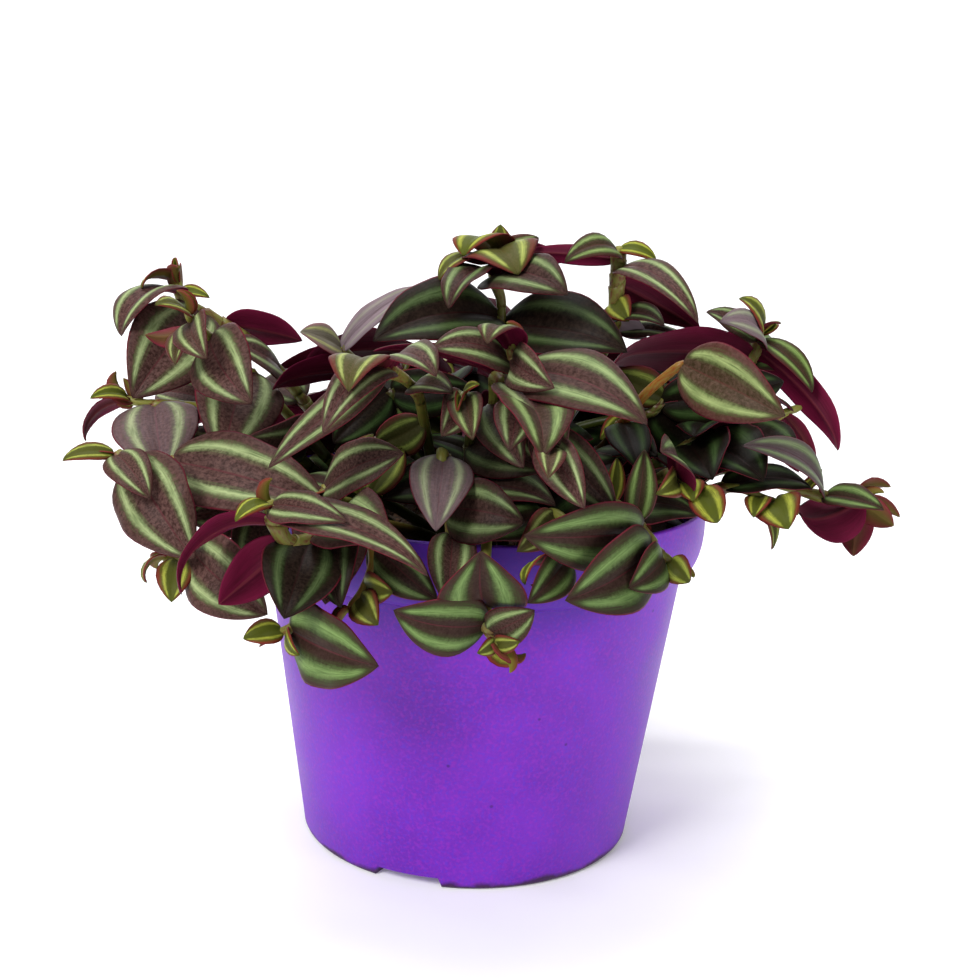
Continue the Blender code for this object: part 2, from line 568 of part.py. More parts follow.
def grow():
    """Every leafy stem with its curve and its settled leaves, in the order they find room."""
    draw = random.Random(SEED)
    clearance = Clearance()
    clearance.add("pot", *pot_barrier())
    stems = []
    for name, root, route, young, turn, leaves in SHOOTS:
        curve = stem_points(root, route)
        stems.append({"name": name, "root": root, "curve": curve, "leaves": [], "rows": leaves,
                      "young": young, "turn": turn})
        clearance.add(name, *tube_solid(curve))
    for group, count, first, last, root_reach, reach, crest, tip in RINGS:
        for index in range(count):
            heading = first + (last - first) * index / (count - 1)
            for attempt in range(RING_TRIES):
                root, route = ring_route(
                    heading + draw.uniform(-6, 6), root_reach + draw.uniform(-3, 3),
                    reach + draw.uniform(-8, 8), crest + draw.uniform(-5, 5),
                    tip + draw.uniform(-8, 8), draw)
                curve = stem_points(root, route)
                name = f"{group}_{index + 1}"
                if apart(root, stems) and not clearance.crosses(name, *tube_solid(curve[1:], 2 * GAP)):
                    break
            else:
                continue
            stems.append({"name": name, "root": root, "curve": curve, "leaves": [], "rows": (),
                          "young": RING_YOUNG, "turn": draw.uniform(0, 360)})
            clearance.add(name, *tube_solid(curve))
    for stem in stems:
        for knot, tip, sides, arch, slim in stem["rows"]:
            wish = sum((SIDES[side] for side in sides), Vector())
            item = leaf(stem_at(stem["curve"], knot), Vector(tip), wish, arch, slim)
            placed = settle(item, stem["name"], clearance, SHRINK_HAND)
            if placed:
                stem["leaves"].append(placed)
    for stem in stems:
        for item in young_leaves(stem["curve"], stem["young"], stem["turn"]):
            placed = settle(item, stem["name"], clearance, SHRINK_YOUNG)
            if placed:
                stem["leaves"].append(placed)
    for stem in stems:
        if stem["rows"]:
            lowest = min(row[0] for row in stem["rows"]) - 0.15
            filling = filling_leaves(stem["curve"], lowest, ROUTE_NODE_STEP, ROUTE_LENGTHS, draw)
        else:
            filling = filling_leaves(stem["curve"], math.inf, RING_NODE_STEP, RING_LENGTHS, draw)
        for item in filling:
            placed = settle(item, stem["name"], clearance, SHRINK_FILLING)
            if placed:
                stem["leaves"].append(placed)
    return stems


def new_collection(name):
    collection = bpy.data.collections.new(name)
    bpy.context.scene.collection.children.link(collection)
    return collection


def material(name, colour, roughness):
    made = bpy.data.materials.new(name)
    made.use_nodes = True
    shader = made.node_tree.nodes["Principled BSDF"]
    shader.inputs["Base Color"].default_value = (*colour, 1.0)
    shader.inputs["Roughness"].default_value = roughness
    shader.inputs["Metallic"].default_value = 0.0
    return made


def mesh_object(name, points, faces, collection):
    mesh = bpy.data.meshes.new(name)
    mesh.from_pydata([point * MM for point in points], [], faces)
    mesh.update()
    made = bpy.data.objects.new(name, mesh)
    collection.objects.link(made)
    return made


def hide_helper(helper):
    helper.hide_render = True
    helper.display_type = "WIRE"


def turned_solid(name, profile, collection):
    """A closed solid turned round the Z axis from a profile of radius and height."""
    mesh = bpy.data.meshes.new(name)
    points = [(radius * MM, 0.0, height * MM) for radius, height in profile]
    mesh.from_pydata(points, [(i, i + 1) for i in range(len(points) - 1)], [])
    made = bpy.data.objects.new(name, mesh)
    collection.objects.link(made)
    screw = made.modifiers.new("turn", "SCREW")
    screw.steps = POT_SIDES
    screw.render_steps = POT_SIDES
    screw.use_merge_vertices = True
    screw.merge_threshold = 0.00005
    bake(made)
    return made


def bake(made):
    """Replaces an object's mesh by its evaluated one and removes its modifiers."""
    graph = bpy.context.evaluated_depsgraph_get()
    mesh = bpy.data.meshes.new_from_object(made.evaluated_get(graph))
    old = made.data
    made.modifiers.clear()
    made.data = mesh
    if old.users == 0:
        bpy.data.meshes.remove(old)


def drop_scraps(mesh):
    """Keeps the largest connected body of a mesh."""
    work = bmesh.new()
    work.from_mesh(mesh)
    seen, bodies = set(), []
    for start in work.verts:
        if start in seen:
            continue
        body, edge = {start}, [start]
        while edge:
            for link in edge.pop().link_edges:
                for vertex in link.verts:
                    if vertex not in body:
                        body.add(vertex)
                        edge.append(vertex)
        seen |= body
        bodies.append(body)
    bodies.sort(key=len)
    loose = [vertex for body in bodies[:-1] for vertex in body]
    bmesh.ops.delete(work, geom=loose, context="VERTS")
    work.to_mesh(mesh)
    work.free()


def boolean(made, collection, operation):
    """Joins or cuts an object with a whole collection and removes the collection's objects."""
    change = made.modifiers.new(operation.lower(), "BOOLEAN")
    change.operation = operation
    change.operand_type = "COLLECTION"
    change.collection = collection
    change.solver = "EXACT"
    bake(made)
    for helper in list(collection.objects):
        bpy.data.objects.remove(helper)
    bpy.data.collections.remove(collection)


def stem_object(stem, collection):
    """A tapering tube along the stem's curve, made a closed mesh."""
    curve = bpy.data.curves.new(stem["name"], "CURVE")
    curve.dimensions = "3D"
    curve.bevel_depth = MM
    curve.bevel_resolution = 1
    curve.use_fill_caps = True
    spline = curve.splines.new("POLY")
    spline.points.add(len(stem["curve"]) - 1)
    last = stem["curve"][-1][1]
    for point, (place, knot) in zip(spline.points, stem["curve"]):
        point.co = (*(place * MM), 1.0)
        point.radius = stem_radius(knot, last)
    guide = bpy.data.objects.new(stem["name"] + "_line", curve)
    collection.objects.link(guide)
    graph = bpy.context.evaluated_depsgraph_get()
    mesh = bpy.data.meshes.new_from_object(guide.evaluated_get(graph))
    work = bmesh.new()
    work.from_mesh(mesh)
    bmesh.ops.remove_doubles(work, verts=work.verts, dist=0.00001)
    work.to_mesh(mesh)
    work.free()
    made = bpy.data.objects.new("shoot_" + stem["name"], mesh)
    collection.objects.link(made)
    bpy.data.objects.remove(guide)
    return made


def make_pot(collection, plastic):
    pot = turned_solid("pot", pot_profile(), collection)
    cutters = new_collection("pot_cutters")
    for index in range(NOTCHES):
        turn = NOTCH_TURN + 2 * math.pi * index / NOTCHES
        reach = BASE_RADIUS - NOTCH_DEPTH / 2 + 2.0
        bpy.ops.mesh.primitive_cube_add(
            size=1, location=(reach * math.cos(turn) * MM, reach * math.sin(turn) * MM, 0),
            rotation=(0, 0, turn), scale=((NOTCH_DEPTH + 4) * MM, NOTCH_WIDTH * MM, NOTCH_HEIGHT * 2 * MM))
        take_in(cutters)
        reach = BASE_RADIUS - DRAIN_INSET
        bpy.ops.mesh.primitive_cylinder_add(
            vertices=DRAIN_SIDES, radius=DRAIN_RADIUS * MM, depth=FLOOR * 3 * MM,
            location=(reach * math.cos(turn) * MM, reach * math.sin(turn) * MM, FLOOR * MM))
        take_in(cutters)
    boolean(pot, cutters, "DIFFERENCE")
    pot.data.materials.clear()
    pot.data.materials.append(plastic)
    pot.data.shade_smooth()
    pot.data.set_sharp_from_angle(angle=math.radians(35))
    return pot


def take_in(collection):
    """Moves the object just added into a collection of helpers."""
    helper = bpy.context.active_object
    for other in list(helper.users_collection):
        other.objects.unlink(helper)
    collection.objects.link(helper)
    hide_helper(helper)


def make_soil(collection, stems, compost):
    """Compost that fills the pot with a small gap, uneven on top, with a hole for each stem."""
    wall = pot_profile()[1:4]
    side = [(radius - GAP, height + GAP) for radius, height in wall]
    top = (RIM_RADIUS - WALL - 1.7, SOIL_TOP)
    rings = [(radius, SOIL_TOP) for radius in SOIL_RINGS]
    profile = rings + [top] + side[:-1][::-1] + [(0.0, FLOOR + GAP)]
    soil = turned_solid("soil", profile, collection)
    for vertex in soil.data.vertices:
        x, y, z = vertex.co / MM
        if z > SOIL_TOP - 1 and math.hypot(x, y) < SOIL_RINGS[-1] + 2:
            vertex.co.z += SOIL_BUMP * math.sin(x / 7.0 + 1.0) * math.cos(y / 6.0) * MM
    cutters = new_collection("root_holes")
    for stem in stems:
        depth = ROOT_DEPTH + GAP
        bpy.ops.mesh.primitive_cylinder_add(
            vertices=HOLE_SIDES, radius=HOLE_RADIUS * MM, depth=2 * depth * MM,
            location=(stem["root"][0] * MM, stem["root"][1] * MM, SOIL_TOP * MM))
        take_in(cutters)
    boolean(soil, cutters, "DIFFERENCE")
    soil.data.materials.clear()
    soil.data.materials.append(compost)
    return soil


def make_shoot(stem, collection, leaf_green):
    """One leafy stem as one solid."""
    made = stem_object(stem, collection)
    blades = new_collection("blades_" + stem["name"])
    for index, item in enumerate(stem["leaves"]):
        points, faces = blade_solid(item, BLADE_THICKNESS)
        hide_helper(mesh_object(f"blade_{stem['name']}_{index + 1}", points, faces, blades))
    boolean(made, blades, "UNION")
    drop_scraps(made.data)
    made.data.materials.clear()
    made.data.materials.append(leaf_green)
    return made


def clear_scene():
    for made in list(bpy.data.objects):
        bpy.data.objects.remove(made)


def main():
    clear_scene()
    plant = new_collection("potted_tradescantia")
    plastic = material("violet_plastic", (0.25, 0.06, 0.56), 0.45)
    compost = material("dark_compost", (0.04, 0.025, 0.015), 0.95)
    leaf_green = material("striped_leaf", (0.13, 0.11, 0.10), 0.4)
    stems = grow()
    make_pot(plant, plastic)
    make_soil(plant, stems, compost)
    for stem in stems:
        make_shoot(stem, plant, leaf_green)


main()
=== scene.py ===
"""Looks of a potted trailing plant with striped leaves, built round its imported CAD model.

Every leafy stem, the compost and the pot are made again as fine surfaces that keep the form
of their CAD solids. The layout below works in millimetres and repeats the part's own rule, so
each leaf lies where its solid does. Surfaces are turned to metres where their mesh is made.
"""

import json
import math
import random

import bpy
import numpy as np
from mathutils import Matrix, Vector
from mathutils.bvhtree import BVHTree

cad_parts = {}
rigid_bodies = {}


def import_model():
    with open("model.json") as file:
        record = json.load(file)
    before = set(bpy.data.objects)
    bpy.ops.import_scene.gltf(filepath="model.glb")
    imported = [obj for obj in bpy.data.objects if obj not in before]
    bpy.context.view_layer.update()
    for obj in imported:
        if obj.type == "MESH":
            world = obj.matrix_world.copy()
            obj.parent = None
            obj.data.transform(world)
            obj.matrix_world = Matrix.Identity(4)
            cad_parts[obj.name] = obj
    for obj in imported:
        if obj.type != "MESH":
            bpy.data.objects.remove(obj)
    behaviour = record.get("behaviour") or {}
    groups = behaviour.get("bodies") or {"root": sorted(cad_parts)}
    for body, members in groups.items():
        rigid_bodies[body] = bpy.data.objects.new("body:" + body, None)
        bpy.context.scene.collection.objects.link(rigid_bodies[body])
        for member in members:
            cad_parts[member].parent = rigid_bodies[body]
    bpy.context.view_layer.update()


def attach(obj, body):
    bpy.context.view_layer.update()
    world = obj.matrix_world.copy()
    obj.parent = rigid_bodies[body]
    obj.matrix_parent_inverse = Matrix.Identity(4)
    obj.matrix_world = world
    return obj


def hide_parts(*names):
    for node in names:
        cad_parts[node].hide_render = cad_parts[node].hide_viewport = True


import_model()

# Lengths are in millimetres, but in metres in the studio and in the materials' patterns
MM = 0.001

# Pot
POT_HEIGHT = 93.2
RIM_RADIUS = 60.0
BODY_TOP_RADIUS = 55.0
BASE_RADIUS = 43.9
SKIRT_HEIGHT = 17.0
WALL = 1.5
FLOOR = 4.0
POT_SIDES = 32
NOTCHES = 3
NOTCH_WIDTH = 16.5
NOTCH_HEIGHT = 2.7
NOTCH_DEPTH = 13.0
NOTCH_TURN = math.radians(252)
DRAIN_RADIUS = 3.0
DRAIN_INSET = 8.0
LIP = 0.7
FLARE = 5.0
FLARE_HEIGHT = 11.0
HEEL = 1.3
SHARP_ANGLE = math.radians(32)

# Compost
GAP = 0.3
SOIL_TOP = 82.0
SOIL_BUMP = 1.1
ROOT_DEPTH = 8.0
ROOT_RISE = 2.5

# Stems
STEM_RADIUS = 1.55
TIP_RADIUS = 1.05
STEM_STEP = 18.0
COLLAR_STEP = 12.6
TUBE_SIDES = 6

# Blades
BLADE_THICKNESS = 1.1
WIDEST = 2.744
BASE_POWER = 0.6
TIP_POWER = 0.9
BASE_SHIFT = 0.012
FOLD = 0.30
CAMBER = 0.20
LARGE_BLADE = 29.0
SMALL_BLADE = 13.0
LARGE_STATIONS = (0.2, 0.48, 0.78)
MIDDLE_STATIONS = (0.28, 0.7)
SMALL_STATIONS = (0.42,)
CLEARANCE = 0.35
FREE_FROM = 0.3

# Shares of its length that a leaf is tried at
SHRINK_HAND = (1.0, 0.85, 0.7)
SHRINK_YOUNG = (1.0, 0.8)
SHRINK_FILLING = (1.0, 0.8, 0.65)

# Young leaves at a tip, the innermost first
YOUNG_LENGTH = 6.5
YOUNG_GROWTH = 3.0
YOUNG_SETBACK = 0.8
YOUNG_STEP = 2.8
YOUNG_OPENING = 14
YOUNG_SPREAD = 13
YOUNG_ARCH = 62
YOUNG_CURL = 12
YOUNG_TURN = 205
YOUNG_SLIM = 0.75
YOUNG_FADE = 0.22
YOUNG_TANGENT = 5.0
YOUNG_CUPPING = 0.3
GROWN_CHORD = 20.0
GROWING_SPAN = 12.0
MOST_AGE = 0.9

# Leaves that fill a stem below its tip: ranges of their lean, arch, spacing and length
FILLING_START = 9.0
FILLING_FOOT = 6.0
FILLING_BELOW = 0.15
FILLING_TANGENT = 3
FILLING_OUT = (0.2, 0.8)
FILLING_UP = (-0.3, 0.3)
FILLING_TILT = (0.4, 1.2)
FILLING_STEPS = (0.85, 1.15)
FILLING_ARCH = (35, 65)
FILLING_SLIM = 0.58
ROUTE_LENGTHS = (22, 30)
RING_LENGTHS = (27, 38)

# Ways and sizes of the turns tried for a leaf: sideways, up and round its own line, in degrees
BEND_SIZES = (6, 12, 18, 26, 34)
BEND_WAYS = (
    (1, 0, 0), (-1, 0, 0), (0, 1, 0), (0, -1, 0), (0, 0, 2), (0, 0, -2),
    (1, 1, 0), (-1, 1, 0), (1, -1, 0), (-1, -1, 0), (1, 0, 1), (-1, 0, -1),
)
BENDS = [(0, 0, 0)]
BENDS += [tuple(size * part for part in way) for size in BEND_SIZES for way in BEND_WAYS]

SEED = 23
UP = Vector((0, 0, 1))
ACROSS_GUIDE = Vector((0.31, 0.95, 0.05))
SIDES = {
    "u": Vector((0, 0, 1)),
    "d": Vector((0, 0, -1)),
    "f": Vector((0, -1, 0)),
    "b": Vector((0, 1, 0)),
    "l": Vector((-1, 0, 0)),
    "r": Vector((1, 0, 0)),
}

# Each row: name, root on the compost (x, y), the stem's route (x, y, z), its young leaves at the
# tip and how far they are turned, and its grown leaves. A leaf has its place along the route
# (1 is the route's first point), its tip (x, y, z), the sides that its upper face looks to,
# the angle that it arches through and its width as a share of its length.
SHOOTS = (
    ("front_1", (-14, -27),
     ((-29, -57, 98), (-35, -66, 95), (-40, -71, 95), (-43, -73, 100), (-44, -74, 105)), 1, 0, (
        (4.35, (-8, -92, 96), "uuf", 50, 0.30), (4.7, (-26, -86, 104), "uf", 60, 0.42),
        (4.8, (-50, -82, 102), "uuf", 80, 0.50), (3.9, (-62, -84, 86), "buull", 110, 0.42),
        (3.0, (-54, -80, 83), "b", 50, 0.55), (2.2, (-39, -86, 83), "f", 40, 0.78),
        (1.6, (-28, -79, 83), "f", 40, 0.62))),
    ("middle_2", (4, -12), ((6, -30, 119), (7, -44, 128), (7, -48, 133), (7, -50, 138)), 1, 0, (
        (2.4, (36, -74, 126), "uf", 50, 0.46), (2.0, (-25, -47, 135), "uf", 40, 0.32),
        (2.9, (-11, -62, 138), "uf", 60, 0.50), (3.3, (16, -68, 131), "f", 42, 0.48),
        (3.6, (1, -64, 140), "u", 110, 0.55), (0.9, (26, -50, 111), "f", 40, 0.72))),
    ("left_4", (-28, -11),
     ((-59, -36, 103), (-72, -44, 106), (-77, -50, 107), (-83, -52, 109)), 1, 0, (
        (3.4, (-62, -66, 89), "f", 40, 0.66), (2.0, (-32, -55, 99), "uf", 40, 0.50),
        (3.9, (-72, -64, 102), "uf", 60, 0.56), (3.95, (-94, -56, 108), "uf", 60, 0.42))),
    ("left_3", (-32, 3),
     ((-61, -12, 112), (-71, -19, 115), (-81, -24, 116), (-88, -24, 117)), 2, 90, (
        (2.9, (-74, -41, 103), "uf", 30, 0.95), (3.6, (-96, -30, 107), "l", 110, 0.45),
        (3.8, (-94, -31, 118), "uf", 90, 0.50), (3.3, (-88, -22, 122), "b", 30, 0.45))),
    ("front_2", (-19, -22),
     ((-33, -51, 100), (-39, -65, 88), (-37, -69, 77), (-43, -68, 73)), 1, 20, (
        (3.5, (-19, -88, 74), "f", 30, 0.64), (1.2, (-31, -74, 81), "f", 40, 0.66),
        (3.6, (-37, -78, 72), "fl", 40, 0.46), (3.8, (-50, -72, 73), "uf", 70, 0.70))),
    ("front_3", (-8, -31),
     ((-23, -59, 97), (-22, -66, 90), (-24, -69, 84), (-27, -71, 80)), 1, 90, (
        (3.2, (-20, -77, 79), "f", 40, 0.85), (2.8, (-17, -75, 86), "f", 40, 0.80),
        (1.5, (-7, -74, 84), "f", 28, 0.55))),
    ("front_7", (17, -27), ((31, -55, 103), (39, -62, 97), (41, -63, 94), (45, -63, 92)), 1, 0, (
        (1.6, (37, -58, 116), "f", 30, 0.44), (2.5, (20, -86, 89), "f", 40, 0.56),
        (3.3, (34, -78, 90), "f", 60, 0.60), (3.8, (48, -68, 89), "f", 90, 0.90),
        (1.8, (11, -86, 102), "f", 30, 0.43), (1.0, (32, -50, 113), "f", 30, 0.40))),
    ("front_4", (-1, -36), ((-8, -54, 113), (-7, -58, 105), (-5, -63, 98), (-4, -67, 91)), 1, 0, (
        (0.95, (-8, -77, 101), "f", 35, 0.54), (2.5, (11, -72, 102), "f", 54, 0.72),
        (3.2, (-5, -80, 85), "f", 40, 0.55))),
    ("front_5", (4, -30), ((3, -56, 100), (3, -72, 88), (4, -79, 80), (7, -81, 76)), 2, 0, (
        (2.5, (2, -91, 100), "f", 40, 0.86), (2.9, (-16, -86, 85), "f", 40, 0.70),
        (3.2, (14, -84, 86), "f", 60, 0.74), (3.6, (2, -84, 76), "f", 60, 0.70),
        (3.7, (11, -84, 79), "f", 70, 0.70))),
    ("front_6", (11, -33), ((17, -58, 101), (23, -66, 98), (20, -72, 94), (17, -76, 92)), 1, 0, (
        (2.9, (11, -84, 87), "f", 50, 0.55), (3.4, (11, -82, 91), "u", 110, 0.55),
        (1.2, (10, -70, 94), "f", 40, 0.55))),
    ("front_9", (-2, -22), ((-2, -44, 121), (-3, -52, 126), (-4, -60, 126)), 1, 90, (
        (1.6, (-8, -64, 118), "f", 60, 0.55), (2.6, (0, -62, 130), "uf", 60, 0.50),
        (2.45, (-1, -70, 119), "f", 50, 0.50))),
    ("front_8", (7, -21), ((3, -46, 129), (10, -58, 123), (14, -68, 120), (16, -74, 118)), 1, 0, (
        (0.8, (10, -66, 113), "f", 40, 0.48), (1.32, (19, -74, 118), "f", 40, 0.46),
        (1.88, (14, -82, 119), "f", 68, 0.60), (3.2, (23, -82, 108), "f", 50, 0.50),
        (2.6, (31, -68, 104), "f", 50, 0.46), (3.8, (15, -86, 115), "f", 60, 0.50),
        (1.72, (7, -74, 118), "f", 35, 0.50))),
    ("front_10", (-11, -20), ((-30, -50, 104), (-35, -56, 103)), 1, 0, (
        (1.9, (-16, -66, 115), "uf", 35, 0.60), (1.1, (-24, -52, 116), "uf", 40, 0.60),
        (0.7, (-18, -34, 110), "uf", 40, 0.62))),
    ("middle_1", (-9, -13),
     ((-14, -40, 122), (-17, -52, 129), (-21, -60, 132), (-25, -65, 132)), 1, 90, (
        (3.0, (-44, -78, 113), "uf", 40, 0.26), (2.72, (-32, -84, 122), "uf", 81, 0.31),
        (2.8, (-9, -76, 134), "uf", 90, 0.55), (3.5, (-27, -82, 131), "uf", 90, 0.60),
        (1.5, (-6, -60, 127), "uf", 60, 0.52), (0.8, (-26, -30, 109), "f", 40, 0.66),
        (0.65, (-12, -30, 111), "f", 40, 0.62))),
    ("top_1", (1, 2), ((4, -6, 136), (4, -5, 143), (2, -4, 149), (3, -1, 155)), 1, 0, (
        (2.8, (20, -28, 148), "uf", 70, 0.56), (3.0, (-9, -26, 143), "uf", 80, 0.50),
        (1.08, (35, -26, 135), "uf", 35, 0.62), (1.3, (-27, -24, 134), "uf", 60, 0.58),
        (3.3, (-12, -12, 148), "uf", 110, 0.60), (3.5, (8, -22, 151), "uf", 104, 0.85),
        (3.3, (20, 6, 153), "bbu", 60, 0.46), (3.75, (-6, -16, 155), "uf", 110, 0.80),
        (3.8, (13, -4, 159), "f", 60, 0.60), (3.9, (3, -2, 162), "f", 40, 0.80))),
    ("top_2", (11, 6), ((32, 4, 132), (33, -4, 141), (33, -6, 150), (33, -8, 158)), 0, 0, (
        (3.2, (51, -34, 143), "fu", 80, 0.27), (2.85, (56, 2, 137), "bbu", 40, 0.50),
        (3.6, (7, 0, 155), "b", 27, 0.20), (3.7, (19, -16, 154), "uf", 110, 0.44),
        (3.9, (42, -10, 154), "uf", 100, 0.46), (1.6, (44, -18, 140), "uf", 60, 0.44),
        (2.3, (36, -12, 140), "f", 80, 0.85))),
    ("top_3", (-11, 8), ((-28, 4, 120), (-33, 0, 125), (-36, -3, 128), (-37, -4, 129)), 0, 0, (
        (3.4, (-15, -2, 146), "uf", 60, 0.24), (1.4, (-52, -24, 121), "bbu", 35, 0.32),
        (3.6, (-46, -12, 134), "uf", 40, 0.72))),
    ("right_2", (16, -12),
     ((33, -34, 116), (38, -42, 126), (43, -46, 132), (46, -48, 135)), 0, 0, (
        (3.9, (66, -68, 127), "f", 35, 0.56), (0.8, (41, -50, 114), "uf", 35, 0.50),
        (1.2, (37, -55, 111), "uf", 50, 0.50))),
    ("left_1", (-26, 6), ((-57, 0, 127), (-67, -3, 134), (-77, -5, 140), (-78, -5, 145)), 2, 90, (
        (3.9, (-86, -12, 143), "ul", 110, 0.50), (3.4, (-69, -8, 141), "uf", 60, 0.45),
        (3.3, (-89, -20, 132), "ufl", 100, 0.80), (2.5, (-86, -24, 116), "f", 35, 0.70),
        (0.8, (-63, -16, 131), "uf", 40, 0.60), (2.0, (-47, 2, 130), "bbu", 30, 0.52))),
    ("left_2", (-27, -4),
     ((-62, -14, 127), (-65, -24, 132), (-68, -30, 136), (-70, -34, 140)), 1, 0, (
        (2.3, (-53, -46, 121), "f", 50, 0.64), (3.4, (-63, -46, 131), "f", 60, 0.60),
        (3.8, (-75, -44, 143), "uf", 50, 0.55), (2.9, (-80, -34, 134), "bd", 30, 0.55),
        (0.88, (-61, -36, 106), "f", 47, 0.74), (3.0, (-71, -43, 129), "fl", 50, 0.55),
        (0.5, (-56, -34, 110), "f", 54, 0.55))),
    ("left_5", (-24, -18),
     ((-51, -42, 97), (-61, -56, 91), (-66, -58, 87), (-71, -56, 86)), 1, 45, (
        (2.6, (-45, -70, 78), "f", 50, 0.70), (3.2, (-67, -66, 79), "f", 40, 0.75),
        (0.75, (-68, -46, 93), "f", 28, 0.62), (0.9, (-53, -52, 80), "f", 30, 0.62),
        (3.8, (-74, -60, 81), "ul", 130, 0.90))),
    ("right_1", (23, 4), ((62, 2, 123), (70, 2, 130), (71, 2, 134), (72, 2, 137)), 1, 90, (
        (3.2, (85, -6, 123), "uuf", 70, 0.42), (2.6, (92, -14, 109), "bbu", 70, 0.25),
        (2.1, (29, -28, 132), "bbu", 40, 0.29), (3.0, (59, -10, 141), "uf", 100, 0.52),
        (3.5, (57, 2, 142), "uf", 60, 0.55), (3.7, (65, 0, 146), "f", 81, 0.85),
        (3.9, (76, -2, 140), "u", 80, 0.52))),
    ("right_3", (23, -3), ((55, -20, 112), (71, -12, 115), (78, -8, 118), (82, -6, 119)), 0, 0, (
        (1.0, (67, -44, 108), "uf", 40, 0.76), (2.9, (86, -12, 105), "br", 60, 0.28),
        (1.7, (77, -30, 110), "uf", 50, 0.62), (0.92, (54, -50, 109), "uuf", 40, 0.60),
        (2.5, (84, 0, 101), "b", 50, 0.40), (1.3, (50, -40, 116), "uf", 40, 0.60))),
    ("right_4", (30, -8), ((60, -22, 105), (72, -24, 103), (85, -24, 100), (96, -22, 99)), 1, 0, (
        (3.9, (103, -28, 94), "b", 40, 0.62), (3.1, (98, -36, 100), "uf", 50, 0.50),
        (3.05, (62, -40, 115), "uf", 68, 0.31), (4.0, (78, -34, 97), "bd", 68, 0.62),
        (3.95, (94, -30, 87), "b", 40, 0.66), (2.6, (85, -24, 107), "f", 30, 0.40),
        (0.7, (57, -18, 109), "uf", 40, 0.60), (3.8, (104, -18, 102), "bu", 80, 0.60),
        (3.95, (106, -22, 95), "bu", 60, 0.50))),
    ("right_5", (26, -14),
     ((57, -36, 103), (63, -38, 104), (68, -38, 102), (72, -38, 101)), 2, 45, (
        (3.7, (73, -48, 97), "f", 90, 0.98), (3.0, (65, -46, 99), "f", 60, 0.70),
        (0.8, (63, -34, 108), "uf", 54, 0.62), (1.3, (82, -30, 103), "uf", 54, 0.52),
        (2.65, (71, -44, 91), "fr", 60, 0.40))),
    ("right_6", (23, -20),
     ((44, -44, 108), (45, -50, 108), (48, -52, 108), (51, -54, 107)), 1, 0, (
        (3.0, (49, -58, 105), "f", 80, 0.95), (3.9, (55, -58, 100), "f", 80, 0.85),
        (2.2, (41, -62, 106), "f", 68, 0.55))),
    ("middle_3", (-6, -4), ((-10, -10, 110), (-20, -16, 117), (-23, -17, 121)), 0, 0, (
        (3.0, (-36, -24, 108), "f", 30, 0.70), (2.3, (-7, -14, 110), "f", 40, 0.66),
        (1.9, (-23, -16, 105), "f", 40, 0.62), (2.9, (-2, -20, 123), "f", 40, 0.60))),
    ("middle_4", (12, -3), ((18, -9, 108), (42, -18, 118), (45, -19, 122)), 0, 0, (
        (3.0, (31, -20, 128), "f", 40, 0.66), (2.7, (76, -16, 127), "f", 40, 0.45),
        (2.32, (63, -8, 105), "f", 28, 0.66), (1.7, (30, -20, 111), "f", 40, 0.60))),
)

# Stems that the rule grows: name, how many, first and last heading in degrees, distance of the
# root and of the tip from the pot's axis, height of the crest and of the tip
RINGS = (
    ("back", 8, 46, 168, 41, 84, 112, 88),
    ("rear", 6, 18, 162, 27, 62, 124, 112),
    ("inner", 5, 30, 146, 14, 34, 124, 116),
    ("hidden", 2, -140, -40, 40, 48, 104, 98),
)
# How far each of them may miss its heading, distances and heights
RING_JITTER = (6, 3, 8, 5, 8)
RING_SWAY = 6
RING_NODE_STEP = 12.0
ROUTE_NODE_STEP = 18.0
RING_SHARES = (0.35, 0.62, 0.84, 1.0)
CLIMB = 0.94
BULGE = 3
RING_YOUNG = 3
RING_TRIES = 16
FALL_TO_SIDES = 0.16
ROOT_SPACING = 5.4

# Fine stems and their sheaths
LINE_STEPS = 9
STEM_SIDES = 10
STEM_RING_STEP = 1.5
TIP_ROUNDING = 0.6
TIP_DOME = 0.2
NODE_SWELL = 0.22
NODE_LENGTH = 1.3
SHEATH_LENGTH = 7.0
SHEATH_SLANT = 1.1
SHEATH_THICKNESS = 0.28
SHEATH_GAP = 0.12
SHEATH_FLARE = 0.45
SHEATHED_AGE = 0.3
LOWEST_SHEATH = 3.0
SHEATH_SIDES = 12
SHEATH_STEPS = 6

# Fine leaves: columns of each half and rows by the leaf's size, its section, and how far
# chance bows, hooks, twists, folds and waves it
FINE_BLADE = 21.0
LEAF_COLUMNS = {"large": 8, "middle": 6, "small": 4}
LEAF_ROWS = {"large": 21, "middle": 15, "small": 10}
COLUMN_EASE = 0.075
ROW_EASE = 0.08
LEAF_THICKNESS = 0.5
RIB_HEIGHT = 0.35
RIB_WIDTH = 0.06
GROWN_FOLD = 0.40
GROWN_CAMBER = 0.62
YOUNG_FOLD = 0.80
YOUNG_CAMBER = -0.80
FOLD_SPREAD = (0.75, 1.35)
CAMBER_SPREAD = (0.8, 1.25)
HALF_SPREAD = 0.05
HOOK_START = 0.72
HOOK = (0.1, 0.7)
SWAY = 0.035
TWIST = 0.35
TWIST_START = 0.4
EDGE_WAVE = 0.055
WAVES = (1.4, 2.6)
WAVE_SPREAD = (0.4, 1.5)
FULL_TURN = 6.3

